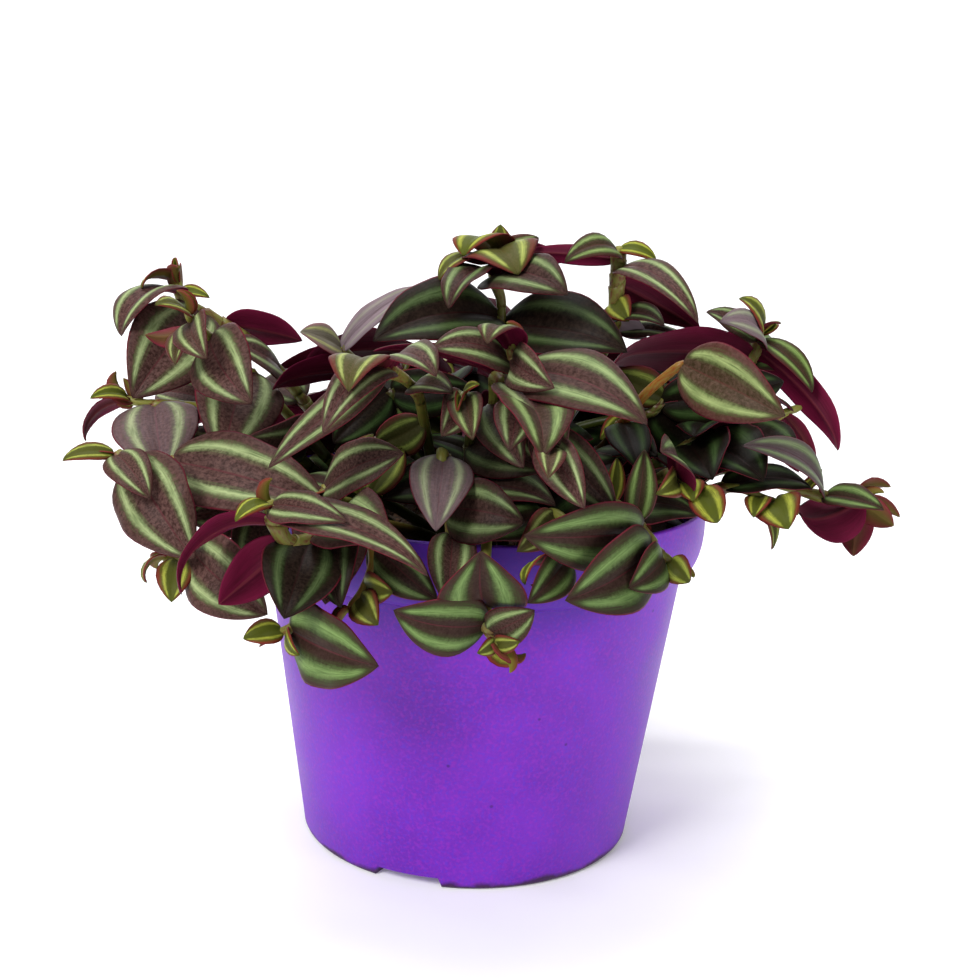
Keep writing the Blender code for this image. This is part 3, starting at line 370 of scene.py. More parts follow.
# Painted shade inside the clump, on low leaves and on the side away from the key light
INNER_REACH = 42.0
OUTER_REACH = 70.0
LOW_LEAF = 100.0
HIGH_LEAF = 122.0
LOW_GLOOM = 0.7
FAR_GLOOM = 0.7
GLOOM_FADE = 20.0
HEART_HEIGHT = 12.0
HEART_FLATTENING = 1.25
UPPER_GLOOM = (0.10, 0.15, 0.095, 1)
UNDER_GLOOM = (0.4, 0.4, 0.4, 1)
STEM_GLOOM = (0.12, 0.16, 0.1, 1)

# Looks of single leaves, by stem and row in SHOOTS. Those that others shade, with the least
# painted shade that they get:
SHADED = {
    "front_1": {5: 0.88, 6: 0.85},
    "front_4": {0: 0.25, 1: 0.5},
    "front_6": {0: 0.4},
    "front_8": {4: 0.6},
    "front_10": {0: 0.3, 1: 0.5, 2: 0.85},
    "left_5": {2: 0.5, 3: 0.7},
    "middle_1": {4: 0.5, 5: 0.95, 6: 0.95},
    "middle_2": {5: 0.9},
    "middle_3": {0: 0.95, 1: 0.95, 2: 0.95, 3: 0.95},
    "middle_4": {0: 0.9, 1: 0.9, 2: 0.95, 3: 0.95},
    "right_2": {1: 0.95, 2: 0.95},
    "right_3": {0: 0.9, 2: 0.85, 3: 0.95, 5: 0.95},
    "right_4": {6: 0.9},
    "right_5": {2: 0.9, 3: 0.85},
    "top_1": {0: 0.35, 1: 0.2, 2: 0.88, 3: 0.85},
    "top_2": {5: 0.5},
    "chink": {0: 0.93},
}
# Those with a painted pale lilac sheen, and its strength; the dry scrap's entry gives it its own
# pale colour
SHEEN_AND_DRY_PALE = {
    "front_4": {0: 0.3},
    "left_3": {0: 0.25},
    "right_1": {3: 0.6},
    "right_4": {2: 0.3},
    "top_3": {0: 0.85, 2: 0.9},
    "scrap": {0: 2.0},
}
# Those whose age isn't what their length says, from 0, grown, to 1, new
AGES = {
    "front_3": {0: 0.62, 1: 0.6},
    "front_5": {1: 0.0, 2: 0.2, 3: 0.55, 4: 0.6},
    "front_7": {3: 0.55},
    "front_8": {2: 0.25, 5: 0.35},
    "middle_1": {2: 0.2, 3: 0.5},
    "right_1": {0: 0.3, 3: 0.2, 4: 0.1, 5: 0.7, 6: 0.4},
    "right_2": {0: 0.32},
    "top_1": {0: 0.1, 1: 0.0, 4: 0.6, 5: 0.55, 6: 0.0, 7: 0.8, 8: 0.3, 9: 0.7},
    "top_2": {6: 0.7},
}
# Those greener than their place makes them, where 1 is the greenest with the darkest ground,
# partly painted shade, and how far chance moves all the others
KINDS = {
    "front_2": {0: 1.0},
    "front_5": {0: 0.9, 1: 0.9},
    "front_6": {0: 0.9},
    "front_7": {0: 0.95, 1: 0.95},
}
KIND_SPREAD = 0.24
# Stems with orange-brown skin, and stems whose young part is thick and gets less painted shade
RUDDY = {"right_2": 0.75, "front_3": 0.5, "middle_1": 0.3}
STOUT = {"top_2": 0.5, "front_1": 0.35}
# Leaves that only this script draws: two in deep painted shade that close chinks in the clump, and
# a pale dry scrap.
# Name in the tables above, base, tip, way to face and width per length
EXTRA_LEAVES = {
    "rear_2": (
        ("chink", (30, 38, 113.5), (30, 44, 96.5), (0, -1, 0), 0.7),
        ("chink", (38, 48, 112), (62, 38, 122), (0, -0.7, 0.7), 0.7),
    ),
    "top_2": (("scrap", (32.5, 1, 139.8), (42.5, 2, 134.2), (0, -1, 0.4), 0.55),),
}
EXTRA_ARCH = 40
EXTRA_KIND = 0.8

POT_STEPS = 288

# The compost's relief and its crumbs: how large, ragged and stretched they are
SOIL_STEPS = 220
SOIL_ROWS = 70
LUMP_LATTICE = 64
LUMP_SIZE = 11.0
LUMP_HEIGHT = 1.5
LUMP_FADE = 1.7
CRUMBS = 900
CRUMB_CORNERS = 12
CRUMB_SIZES = (2.0, 0.28)
LEAST_CRUMB = 0.35
CRUMB_RAGGED = (0.7, 1.3)
CRUMB_STRETCH = (0.45, 1.0)
CRUMB_RISE = 0.15

# Camera, fitted to the pot's rim and foot: focal length in pixels of the 980-pixel frame
FRAME_PIXELS = 980
FOCAL_PIXELS = 1500
SENSOR = 36.0
CAMERA_DISTANCE = 396.9
CAMERA_ELEVATION = math.radians(12.8)
CAMERA_ROLL = math.radians(2.41)
CAMERA_AIM = Vector((3.19, 0.0, 92.5))

# Soft boxes: place and aim, size across and up, in metres, and power in watts
LIGHTS = {
    "key": ((-0.7, -0.9, 0.95), (0, 0, 0.1), (0.5, 0.5), 17.5),
    "fill": ((1.0, -0.7, 0.2), (0, 0, 0.04), (0.5, 0.5), 5.0),
    "top": ((-0.2, 0.1, 1.3), (0, 0, 0.1), (0.8, 0.8), 9.0),
    "backdrop_wash": ((0.0, 0.7, 2.2), (0, 2.6, 1.0), (2.5, 0.8), 60.0),
}
SKY_STRENGTH = 0.30

# Floor and backdrop, in metres
FLOOR_FRONT = -3.0
FLOOR_HALF_WIDTH = 4.0
FLOOR_GLOW = 0.13
BEND_START = 1.6
BEND_RADIUS = 1.2
BACKDROP_HEIGHT = 5.0

# Settings that many nodes share
TIMES = {"operation": "MULTIPLY"}
SMOOTH = {"interpolation_type": "SMOOTHSTEP"}
MIX = {"give": 2, "data_type": "RGBA"}
DARKEN = {**MIX, "blend_type": "MULTIPLY"}
ALL = {"give": slice(None)}


def unit(vector):
    return vector.normalized()


def points_and_slopes(root, route):
    """The points that a stem's curve runs through, from the foot of its hole up, and its slope
    at each: straight up out of the hole, then along the line between the points on either
    side."""
    points = [Vector((*root, SOIL_TOP - ROOT_DEPTH)), Vector((*root, SOIL_TOP + ROOT_RISE))]
    points += [Vector(point) for point in route]
    slopes = [UP * 2]
    for before, here, after in zip(points, points[1:], points[2:]):
        reach = min((here - before).length, (after - here).length)
        slopes.append(unit(after - before) * reach)
    slopes[1] = UP * slopes[1].length
    last = points[-1] - points[-2]
    slopes.append(unit(last) * last.length)
    return points, slopes


def cubic(start, leave, end, arrive, t):
    """A cubic curve from start to end with its slopes there, as t goes from 0 to 1."""
    return (
        start * (2 * t**3 - 3 * t**2 + 1) + leave * (t**3 - 2 * t**2 + t)
        + end * (3 * t**2 - 2 * t**3) + arrive * (t**3 - t**2)
    )


def stem_points(root, route):
    """A stem's curve in short lengths: each point with its place along the route, which is -1 at
    the foot of the hole and 1 at the route's first point."""
    points, slopes = points_and_slopes(root, route)
    curve = [(points[0], -1.0)]
    for index in range(1, len(points) - 1):
        start, end = points[index], points[index + 1]
        step = COLLAR_STEP if index == 1 else STEM_STEP
        lengths = max(1, round((end - start).length / step))
        for length in range(lengths):
            t = length / lengths
            curve.append((cubic(start, slopes[index], end, slopes[index + 1], t), index - 1 + t))
    curve.append((points[-1], len(points) - 2.0))
    return curve


def stem_at(curve, knot):
    """The point on a stem's curve at a place along its route."""
    for (start, first), (end, last) in zip(curve, curve[1:]):
        if knot <= last:
            share = (knot - first) / (last - first)
            return start.lerp(end, max(0.0, min(1.0, share)))
    return curve[-1][0]


def walk_back(curve, distance):
    """The stretch of a stem at a distance back from its tip: the ends that it leaves and reaches,
    and the share of it that is walked."""
    for reached, left in zip(curve[-2::-1], curve[:0:-1]):
        length = (left[0] - reached[0]).length
        if distance <= length:
            return left, reached, distance / length
        distance -= length
    return curve[0], curve[0], 0.0


def back_from_tip(curve, distance):
    """The point on the stem at a distance back from its tip."""
    left, reached, share = walk_back(curve, distance)
    return left[0].lerp(reached[0], share)


def knot_at(curve, distance):
    """The place along the route at a distance back from the stem's tip."""
    left, reached, share = walk_back(curve, distance)
    return left[1] + (reached[1] - left[1]) * share


def facing(along, wish):
    """The part of the wished direction that is square to the leaf's own line."""
    face = wish - along * wish.dot(along)
    if face.length < 0.05:
        face = along.orthogonal()
    return unit(face)


def leaf(base, tip, wish, arch, slim):
    """A leaf's place and form: the chord from base to tip, the way that its upper face looks,
    the angle that it arches through and its width as a share of its length."""
    chord = tip - base
    along = unit(chord)
    return {
        "base": base,
        "chord": chord.length,
        "along": along,
        "face": facing(along, wish),
        "arch": math.radians(arch),
        "slim": slim,
    }


def outline(v):
    """Half width along the blade: steep to its widest at two fifths, then in to a point."""
    return WIDEST * (v + BASE_SHIFT) ** BASE_POWER * (1 - v) ** TIP_POWER


def blade_frames(item, stations):
    """Midrib points with their face directions, on a circular arc over the chord, and the half
    widths there."""
    half = item["arch"] / 2
    radius = item["chord"] / (2 * math.sin(half))
    length = radius * item["arch"]
    frames = []
    for v in stations:
        angle = half * (1 - 2 * v)
        forward = radius * (math.sin(half) - math.sin(angle))
        height = radius * (math.cos(angle) - math.cos(half))
        middle = item["base"] + item["along"] * forward + item["face"] * height
        normal = item["face"] * math.cos(angle) - item["along"] * math.sin(angle)
        frames.append((middle, normal, outline(v) * item["slim"] * length / 2))
    return frames


def blade_solid(item, thickness, margin=0.0, first=0.0):
    """A closed blade, thickest along its midrib, sharp at its edges and pointed at both ends.
    Each station is a ring of four points: edge, upper midrib, edge, lower midrib. The base point
    and the tip come last."""
    stations = SMALL_STATIONS if item["chord"] < SMALL_BLADE else MIDDLE_STATIONS
    if item["chord"] > LARGE_BLADE:
        stations = LARGE_STATIONS
    frames = blade_frames(item, (first, *stations, 1.0))
    side = item["along"].cross(item["face"])
    points = []
    for middle, normal, width in frames[1:-1]:
        half = width + margin
        lift = normal * (half * (FOLD - CAMBER))
        skin = normal * (thickness / 2)
        points += [middle - side * half + lift, middle + skin]
        points += [middle + side * half + lift, middle - skin]
    base, tip = len(points), len(points) + 1
    points += [frames[0][0], frames[-1][0]]
    faces = []
    for corner in range(4):
        beside = (corner + 1) % 4
        for here in range(0, base - 4, 4):
            a, b, c, d = here + corner, here + beside, here + 4 + corner, here + 4 + beside
            faces += [(a, b, c), (b, d, c)] if corner in (0, 2) else [(a, b, d), (a, d, c)]
        faces += [(base, beside, corner), (base - 4 + corner, base - 4 + beside, tip)]
    return points, faces


def ring_faces(rings, sides):
    """Triangles that join rings of points, each ring to the next."""
    faces = []
    for ring in range(rings - 1):
        for corner in range(sides):
            a, b = ring * sides + corner, ring * sides + (corner + 1) % sides
            faces += [(a, b, b + sides), (a, b + sides, a + sides)]
    return faces


def stem_radius(share):
    """A stem's radius at a share of its length, from the root to the tip."""
    return STEM_RADIUS + (TIP_RADIUS - STEM_RADIUS) * share


def tube_solid(curve, extra=0.0):
    """An open-ended tube along the stem's curve, for clearance alone."""
    points = []
    for index, (place, knot) in enumerate(curve):
        ahead = curve[min(index + 1, len(curve) - 1)][0]
        behind = curve[max(index - 1, 0)][0]
        along = unit(ahead - behind)
        across = unit(along.cross(ACROSS_GUIDE))
        upward = across.cross(along)
        radius = stem_radius(max(0.0, knot / curve[-1][1])) + extra
        for corner in range(TUBE_SIDES):
            turn = 2 * math.pi * corner / TUBE_SIDES
            points.append(place + (across * math.cos(turn) + upward * math.sin(turn)) * radius)
    return points, ring_faces(len(curve), TUBE_SIDES)


def pot_profile():
    """Radius and height of the pot's wall: up the inside, over the lip, down the outside."""
    skirt_foot = POT_HEIGHT - SKIRT_HEIGHT
    inside = [
        (BASE_RADIUS - WALL + 0.4, FLOOR),
        (BODY_TOP_RADIUS - WALL, skirt_foot + 0.8),
        (RIM_RADIUS - WALL - 1.6, skirt_foot + 4.0),
        (RIM_RADIUS - WALL, POT_HEIGHT - 6.0),
        (RIM_RADIUS - WALL + 0.4, POT_HEIGHT),
    ]
    outside = [
        (RIM_RADIUS - 0.5, POT_HEIGHT - 0.1),
        (RIM_RADIUS, POT_HEIGHT - 1.4),
        (RIM_RADIUS, POT_HEIGHT - 6.0),
        (RIM_RADIUS - 0.8, skirt_foot + 5.0),
        (BODY_TOP_RADIUS + 2.4, skirt_foot + 1.2),
        (BODY_TOP_RADIUS, skirt_foot),
        (BASE_RADIUS + 0.5, 1.0),
        (BASE_RADIUS - 0.4, 0.0),
    ]
    return [(0.0, FLOOR)] + inside + outside + [(0.0, 0.0)]


def pot_barrier():
    """The pot's outer wall and the compost's top as one open surface, for clearance alone."""
    top = SOIL_TOP + SOIL_BUMP
    line = [(0, top), (RIM_RADIUS - WALL - 1, top)] + pot_profile()[4:]
    points = []
    for radius, height in line:
        for corner in range(POT_SIDES):
            turn = 2 * math.pi * corner / POT_SIDES
            points.append(Vector((radius * math.cos(turn), radius * math.sin(turn), height)))
    return points, ring_faces(len(line), POT_SIDES)


def ball(points):
    """The centre and radius of a ball that holds all the points."""
    centre = sum(points, Vector()) / len(points)
    return centre, max((point - centre).length for point in points)


class Clearance:
    """Keeps every solid placed so far and says whether a new one would cross another."""

    def __init__(self):
        self.solids = []

    def add(self, owner, points, faces):
        self.solids.append((owner, *ball(points), BVHTree.FromPolygons(points, faces)))

    def crosses(self, owner, points, faces, own=False):
        """True if the solid crosses one of another stem, or one of its own stem if own is set."""
        centre, reach = ball(points)
        tree = None
        for other, place, size, solid in self.solids:
            if (other == owner) != own or (place - centre).length > size + reach:
                continue
            if tree is None:
                tree = BVHTree.FromPolygons(points, faces)
            if tree.overlap(solid):
                return True
        return False


def turned(item, sideways, lift, roll, scale):
    """The leaf turned about its base and shortened."""
    along, face = item["along"], item["face"]
    side = along.cross(face)
    yaw, pitch, spin = (math.radians(angle) for angle in (sideways, lift, roll))
    new_along = unit(along + side * math.tan(yaw) + face * math.tan(pitch))
    new_face = facing(new_along, face * math.cos(spin) + side * math.sin(spin))
    return dict(item, along=new_along, face=new_face, chord=item["chord"] * scale)


def settle(item, owner, clearance, shares):
    """Bends a leaf clear of all that stands, or shortens it. None if it finds no room."""
    for scale in shares:
        for bend in BENDS:
            trial = turned(item, *bend, scale)
            grown = blade_solid(trial, BLADE_THICKNESS + 3 * CLEARANCE, 2 * CLEARANCE)
            if clearance.crosses(owner, *grown):
                continue
            points, faces = blade_solid(trial, BLADE_THICKNESS, first=FREE_FROM)
            base = len(points) - 2
            far_half = [face for face in faces if base not in face]
            if clearance.crosses(owner, points, far_half, own=True):
                continue
            clearance.add(owner, *blade_solid(trial, BLADE_THICKNESS))
            return trial
    return None


def set_leaves(stem):
    """The leaves of a stem that are listed in SHOOTS. The shorter, the younger."""
    leaves = []
    for row, (knot, tip, sides, arch, slim) in enumerate(stem["rows"]):
        wish = sum((SIDES[side] for side in sides), Vector())
        item = leaf(stem_at(stem["curve"], knot), Vector(tip), wish, arch, slim)
        age = max(0.0, min(MOST_AGE, (GROWN_CHORD - item["chord"]) / GROWING_SPAN))
        leaves.append(dict(item, owner=stem["name"], row=row, age=age))
    return leaves


def young_leaves(stem):
    """The closed young leaves at a stem's tip: each older one is longer, opens wider and
    stands on the other side of the stem."""
    curve = stem["curve"]
    tangent = unit(curve[-1][0] - back_from_tip(curve, YOUNG_TANGENT))
    first = unit(tangent.cross(UP)) if abs(tangent.z) < 0.95 else Vector((1, 0, 0))
    second = tangent.cross(first)
    leaves = []
    for rank in range(stem["young"]):
        around = math.radians(stem["turn"] + YOUNG_TURN * rank)
        outward = first * math.cos(around) + second * math.sin(around)
        opening = math.radians(YOUNG_OPENING + YOUNG_SPREAD * rank)
        along = tangent * math.cos(opening) + outward * math.sin(opening)
        base = back_from_tip(curve, YOUNG_SETBACK + YOUNG_STEP * rank)
        tip = base + along * (YOUNG_LENGTH + YOUNG_GROWTH * rank)
        arch = YOUNG_ARCH + YOUNG_CURL * rank
        item = leaf(base, tip, tangent - outward * YOUNG_CUPPING, arch, YOUNG_SLIM)
        leaves.append(dict(item, age=1.0 - YOUNG_FADE * rank, closed=1.0 - YOUNG_FADE * rank))
    return leaves


def filling_leaves(stem, draw):
    """Leaves by turns on either side of a stem, a step apart, down to the compost: from the young
    leaves, or from below the first listed leaf."""
    curve = stem["curve"]
    highest, step, lengths = math.inf, RING_NODE_STEP, RING_LENGTHS
    if stem["rows"]:
        highest = min(row[0] for row in stem["rows"]) - FILLING_BELOW
        step, lengths = ROUTE_NODE_STEP, ROUTE_LENGTHS
    outward = unit(Vector((*curve[-1][0].xy, 0)))
    leaves = []
    distance, side = FILLING_START, draw.choice((-1, 1))
    while True:
        base = back_from_tip(curve, distance)
        if base.z < SOIL_TOP + FILLING_FOOT:
            return leaves
        if knot_at(curve, distance) < highest:
            side = -side
            above = back_from_tip(curve, distance - FILLING_TANGENT)
            tangent = unit(above - back_from_tip(curve, distance + FILLING_TANGENT))
            across = unit(tangent.cross(UP)) if abs(tangent.z) < 0.97 else outward.cross(UP)
            lean, rise = draw.uniform(*FILLING_OUT), draw.uniform(*FILLING_UP)
            along = across * side + outward * lean + UP * rise
            tip = base + unit(along) * draw.uniform(*lengths)
            wish = UP + outward * draw.uniform(*FILLING_TILT)
            leaves.append(leaf(base, tip, wish, draw.uniform(*FILLING_ARCH), FILLING_SLIM))
        distance += step * draw.uniform(*FILLING_STEPS)


def ring_route(heading, root_reach, reach, crest, tip, draw):
    """A root and a route that climbs over the pot's rim to a crest and hangs to its tip."""
    turn = math.radians(heading)
    out = Vector((math.cos(turn), math.sin(turn), 0))
    across = Vector((-out.y, out.x, 0)) * draw.uniform(-RING_SWAY, RING_SWAY)
    root = out * root_reach
    crest -= abs(out.x) * reach * FALL_TO_SIDES
    tip -= abs(out.x) * reach * FALL_TO_SIDES
    heights = (crest * CLIMB, crest, (crest + tip) / 2 + BULGE, tip)
    route = []
    for share, height in zip(RING_SHARES, heights):
        place = out * (root_reach + (reach - root_reach) * share) + across * share
        route.append((place.x, place.y, height))
    return (root.x, root.y), route


def apart(root, stems):
    """True if no stem stands so near to this root that their holes would meet."""
    return all(math.dist(root, stem["root"]) > ROOT_SPACING for stem in stems)


def grow():
    """Every leafy stem with its curve and its settled leaves, in the order they find room."""
    draw = random.Random(SEED)
    clearance = Clearance()
    clearance.add("pot", *pot_barrier())
    stems = []

    def plant(name, root, route, young, turn, rows):
        curve = stem_points(root, route)
        clearance.add(name, *tube_solid(curve))
        stems.append({
            "name": name,
            "root": root,
            "route": route,
            "curve": curve,
            "young": young,
            "turn": turn,
            "rows": rows,
            "leaves": [],
        })

    def place(stem, leaves, shares):
        settled = (settle(item, stem["name"], clearance, shares) for item in leaves)
        stem["leaves"] += [item for item in settled if item]

    for shoot in SHOOTS:
        plant(*shoot)
    for group, count, first, last, *sizes in RINGS:
        for index in range(count):
            name = f"{group}_{index + 1}"
            usual = (first + (last - first) * index / (count - 1), *sizes)
            for _ in range(RING_TRIES):
                tried = [size + draw.uniform(-off, off) for size, off in zip(usual, RING_JITTER)]
                root, route = ring_route(*tried, draw)
                tube = tube_solid(stem_points(root, route)[1:], 2 * GAP)
                if apart(root, stems) and not clearance.crosses(name, *tube):
                    plant(name, root, route, RING_YOUNG, draw.uniform(0, 360), ())
                    break
    for stem in stems:
        place(stem, set_leaves(stem), SHRINK_HAND)
    for stem in stems:
        place(stem, young_leaves(stem), SHRINK_YOUNG)
    for stem in stems:
        place(stem, filling_leaves(stem, draw), SHRINK_FILLING)
    return stems


def linear(code):
    """An sRGB hex colour as linear red, green, blue and alpha."""
    channels = [int(code[i:i + 2], 16) / 255 for i in (1, 3, 5)]
    return (*(c / 12.92 if c <= 0.04045 else ((c + 0.055) / 1.055) ** 2.4 for c in channels), 1.0)


def fill(node, inputs):
    """Sets a node's inputs: each is another node's output, an sRGB hex colour or a value."""
    for name, value in inputs.items():
        if isinstance(value, bpy.types.NodeSocket):
            node.id_data.links.new(value, node.inputs[name])
        else:
            node.inputs[name].default_value = linear(value) if isinstance(value, str) else value


def add(tree, kind, inputs=None, give=0, **settings):
    """Adds a shader node with its inputs and settings, and gives one of its outputs, or all."""
    node = tree.nodes.new("ShaderNode" + kind)
    for name, value in settings.items():
        setattr(node, name, value)
    fill(node, inputs or {})
    return node.outputs[give]


def new_material(name):
    """A material with its node tree and its shader."""
    made = bpy.data.materials.new(name)
    made.use_nodes = True
    return made, made.node_tree, made.node_tree.nodes["Principled BSDF"]


def surface(points, quads, tris=None, uv=None, growth=(0, 0, 0, 1), quad_slots=0, tri_slots=0):
    """One surface's arrays: points in millimetres, faces, pattern places and four growth
    traits."""
    points = np.asarray(points, float).reshape(-1, 3)
    quads = np.asarray(quads, int).reshape(-1, 4)
    tris = np.zeros((0, 3), int) if tris is None else np.asarray(tris, int).reshape(-1, 3)
    return {
        "points": points,
        "quads": quads,
        "tris": tris,
        "uv": np.zeros((len(points), 2)) if uv is None else np.asarray(uv, float).reshape(-1, 2),
        "growth": np.stack([np.broadcast_to(trait, len(points)) for trait in growth], -1),
        "quad_slots": np.broadcast_to(quad_slots, (len(quads),)),
        "tri_slots": np.broadcast_to(tri_slots, (len(tris),)),
    }


def put_in_scene(name, data):
    """An object of a mesh, a light or a camera."""
    made = bpy.data.objects.new(name, data)
    bpy.context.scene.collection.objects.link(made)
    return made


def piece(name, surfaces, materials, slot, *nodes):
    """A mesh object from surfaces, in place of the named CAD nodes."""
    def joined(part):
        return np.concatenate([s[part] for s in surfaces])

    starts = np.cumsum([0] + [len(s["points"]) for s in surfaces])[:-1]
    quads = np.concatenate([s["quads"] + start for s, start in zip(surfaces, starts)])
    tris = np.concatenate([s["tris"] + start for s, start in zip(surfaces, starts)])
    mesh = bpy.data.meshes.new(name)
    mesh.from_pydata((joined("points") * MM).tolist(), [], quads.tolist() + tris.tolist())
    uv = joined("uv")[np.concatenate([quads.ravel(), tris.ravel()])]
    mesh.uv_layers.new(name="leaf").uv.foreach_set("vector", uv.astype(np.float32).ravel())
    growth = mesh.color_attributes.new("growth", "FLOAT_COLOR", "POINT")
    growth.data.foreach_set("color", joined("growth").astype(np.float32).ravel())
    slots = np.concatenate([joined("quad_slots"), joined("tri_slots")])
    mesh.polygons.foreach_set("material_index", slots.astype(np.int32))
    for material in materials:
        mesh.materials.append(material)
    mesh.shade_smooth()
    mesh.update()
    made = put_in_scene(name, mesh)
    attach(made, "root")
    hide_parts(*nodes)
    return made


def circle(steps):
    """Angles once round, evenly spaced."""
    return 2 * np.pi * np.arange(steps) / steps


def wrapped_grid(rows, columns, close_rows=False):
    """Quads of a grid whose columns, and rows if asked, close on themselves."""
    last = rows if close_rows else rows - 1
    row, column = np.meshgrid(np.arange(last), np.arange(columns), indexing="ij")
    beside, above = (column + 1) % columns, (row + 1) % rows * columns
    row = row * columns
    quads = row + column, row + beside, above + beside, above + column
    return np.stack(quads, -1).reshape(-1, 4)


def closed_faces(rows, columns, flip=False):
    """Quads of a wrapped grid and the triangles that close it at two poles, whose points follow
    the grid's. Flipped for a grid whose rows run down its outside."""
    column = np.arange(columns)
    beside, top = (column + 1) % columns, (rows - 1) * columns
    first, last = np.full((2, columns), rows * columns) + [[0], [1]]
    quads = wrapped_grid(rows, columns)
    tris = np.concatenate([
        np.stack([first, beside, column], 1), np.stack([column + top, beside + top, last], 1)])
    return (quads[:, ::-1], tris[:, ::-1]) if flip else (quads, tris)


def normalised(vectors):
    return vectors / np.linalg.norm(vectors, axis=-1, keepdims=True)


class StemLine:
    """A stem's centre line, drawn finely: the cubic stretches between the points of its route,
    with the distance along it and two directions square to it."""

    def __init__(self, root, route):
        points, slopes = points_and_slopes(root, route)
        points, slopes = np.array(points)[:, None], np.array(slopes)[:, None]
        t = np.linspace(0, 1, LINE_STEPS, endpoint=False)[None, :, None]
        line = cubic(points[:-1], slopes[:-1], points[1:], slopes[1:], t)
        self.points = np.concatenate([line.reshape(-1, 3), points[-1]])
        steps = np.linalg.norm(np.diff(self.points, axis=0), axis=1)
        self.distance = np.concatenate([[0], np.cumsum(steps)])
        along = normalised(np.gradient(self.points, self.distance, axis=0))
        flat = np.linalg.svd(self.points - self.points.mean(0))[2][2]
        self.across = normalised(flat - (along @ flat)[:, None] * along)
        self.upward = np.cross(along, self.across)

    def at(self, distance, values):
        """Values of the line's points at any distances along it."""
        return np.stack([np.interp(distance, self.distance, values[:, i]) for i in range(3)], -1)

    def nearest(self, point):
        """The distance along the line of its nearest point, and that point."""
        start, step = self.points[:-1], np.diff(self.points, axis=0)
        share = np.clip(((point - start) * step).sum(1) / (step**2).sum(1), 0, 1)
        near = start + step * share[:, None]
        best = np.argmin(np.linalg.norm(near - point, axis=1))
        span = np.diff(self.distance)[best]
        return self.distance[best] + span * share[best], near[best]

    def ring(self, distance, around, radius):
        """Points at a radius from the line; all three arguments are arrays of one shape."""
        out = (
            self.at(distance, self.across) * np.cos(around)[..., None]
            + self.at(distance, self.upward) * np.sin(around)[..., None]
        )
        return self.at(distance, self.points) + normalised(out) * radius[..., None]


def look(table, item, usual=0.0):
    """A leaf's entry in a table of the looks of single leaves, or the usual value."""
    return table.get(item.get("owner"), {}).get(item.get("row"), usual)


def gloom(points):
    """How deep points lie in the clump, as painted shade: 0 at its lit surface, 1 inside it. More
    for the low leaves over the rim and on the side away from the key light."""
    x, z = points[..., 0], points[..., 2]
    from_heart = (points - [0, 0, SOIL_TOP + HEART_HEIGHT]) * [1, 1, HEART_FLATTENING]
    away = np.linalg.norm(from_heart, axis=-1)
    depth = (OUTER_REACH - away) / (OUTER_REACH - INNER_REACH)
    low = np.clip((LOW_LEAF - z) / GLOOM_FADE, 0, 1) * np.clip((x + 30) / 30, 0.2, 1)
    far_side = np.clip(x / 50, 0, 1) * np.clip((HIGH_LEAF - z) / GLOOM_FADE, 0.3, 1)
    return np.clip(depth + LOW_GLOOM * low + FAR_GLOOM * far_side, 0, 1)


def bare_radius(share, stout):
    """A stem's radius at a share of its length. A stout stem is thicker in its last half."""
    return stem_radius(share) * (1 + stout * np.clip(3 * share - 1.5, 0, 1))


def stem_surface(line, knots, tone, ruddy, stout):
    """The stem: circles along its line, a little wider at each leaf, closed in a dome at the
    tip. The pattern's v is the distance from the root in centimetres."""
    length = line.distance[-1]
    distance = np.linspace(0, length, max(12, int(length / STEM_RING_STEP)))
    near = np.exp(-((distance[:, None] - knots) / NODE_LENGTH) ** 2).sum(1).clip(0, 1)
    radius = bare_radius(distance / length, stout) * (1 + NODE_SWELL * near)
    radius[-1] *= TIP_ROUNDING
    grid = np.meshgrid(distance, circle(STEM_SIDES), indexing="ij")
    points = line.ring(*grid, np.repeat(radius[:, None], STEM_SIDES, 1)).reshape(-1, 3)
    points = np.concatenate([points, line.points[:1], line.points[-1:] + [0, 0, TIP_DOME]])
    uv = np.stack([grid[1] / (2 * np.pi), grid[0] / 10], -1).reshape(-1, 2)
    uv = np.concatenate([uv, [[0.5, 0.0], [0.5, length / 10]]])
    near = np.append(np.repeat(near, STEM_SIDES), [0, 0])
    # Painted shade in the clump, less on a stout stem
    growth = gloom(points) * (1 - 2 * stout), tone, near, ruddy
    return surface(points, *closed_faces(len(distance), STEM_SIDES), uv, growth, 2, 2)


def sheath_surface(line, mouth, toward, tone, ruddy, stout):
    """The sheath round the stem below a leaf: a thin sleeve that widens to a slanted mouth,
    highest on the leaf's side, and folds back inside."""
    around, share = circle(SHEATH_SIDES), np.linspace(0, 1, SHEATH_STEPS)
    rise = np.concatenate([share, share[::-1]])[:, None]
    inner = np.repeat([0, 1], SHEATH_STEPS)[:, None]
    lean = np.cos(around - toward) * SHEATH_SLANT
    length = min(SHEATH_LENGTH, mouth - 1.0)
    distance = mouth - length * (1 - rise) + lean * rise**3
    bare = bare_radius(distance / line.distance[-1], stout)
    radius = bare + SHEATH_GAP + SHEATH_FLARE * rise**1.5 - inner * SHEATH_THICKNESS
    around = np.broadcast_to(around, distance.shape)
    points = line.ring(distance, around, radius).reshape(-1, 3)
    uv = np.stack([around / (2 * np.pi), distance / 10], -1)
    near = np.repeat(0.45 + 0.4 * rise, SHEATH_SIDES)
    # Painted shade in the clump, less on a stout stem
    growth = gloom(points) * (1 - 2 * stout), tone, near, ruddy
    return surface(points, wrapped_grid(rise.size, SHEATH_SIDES, True), None, uv, growth, 3)


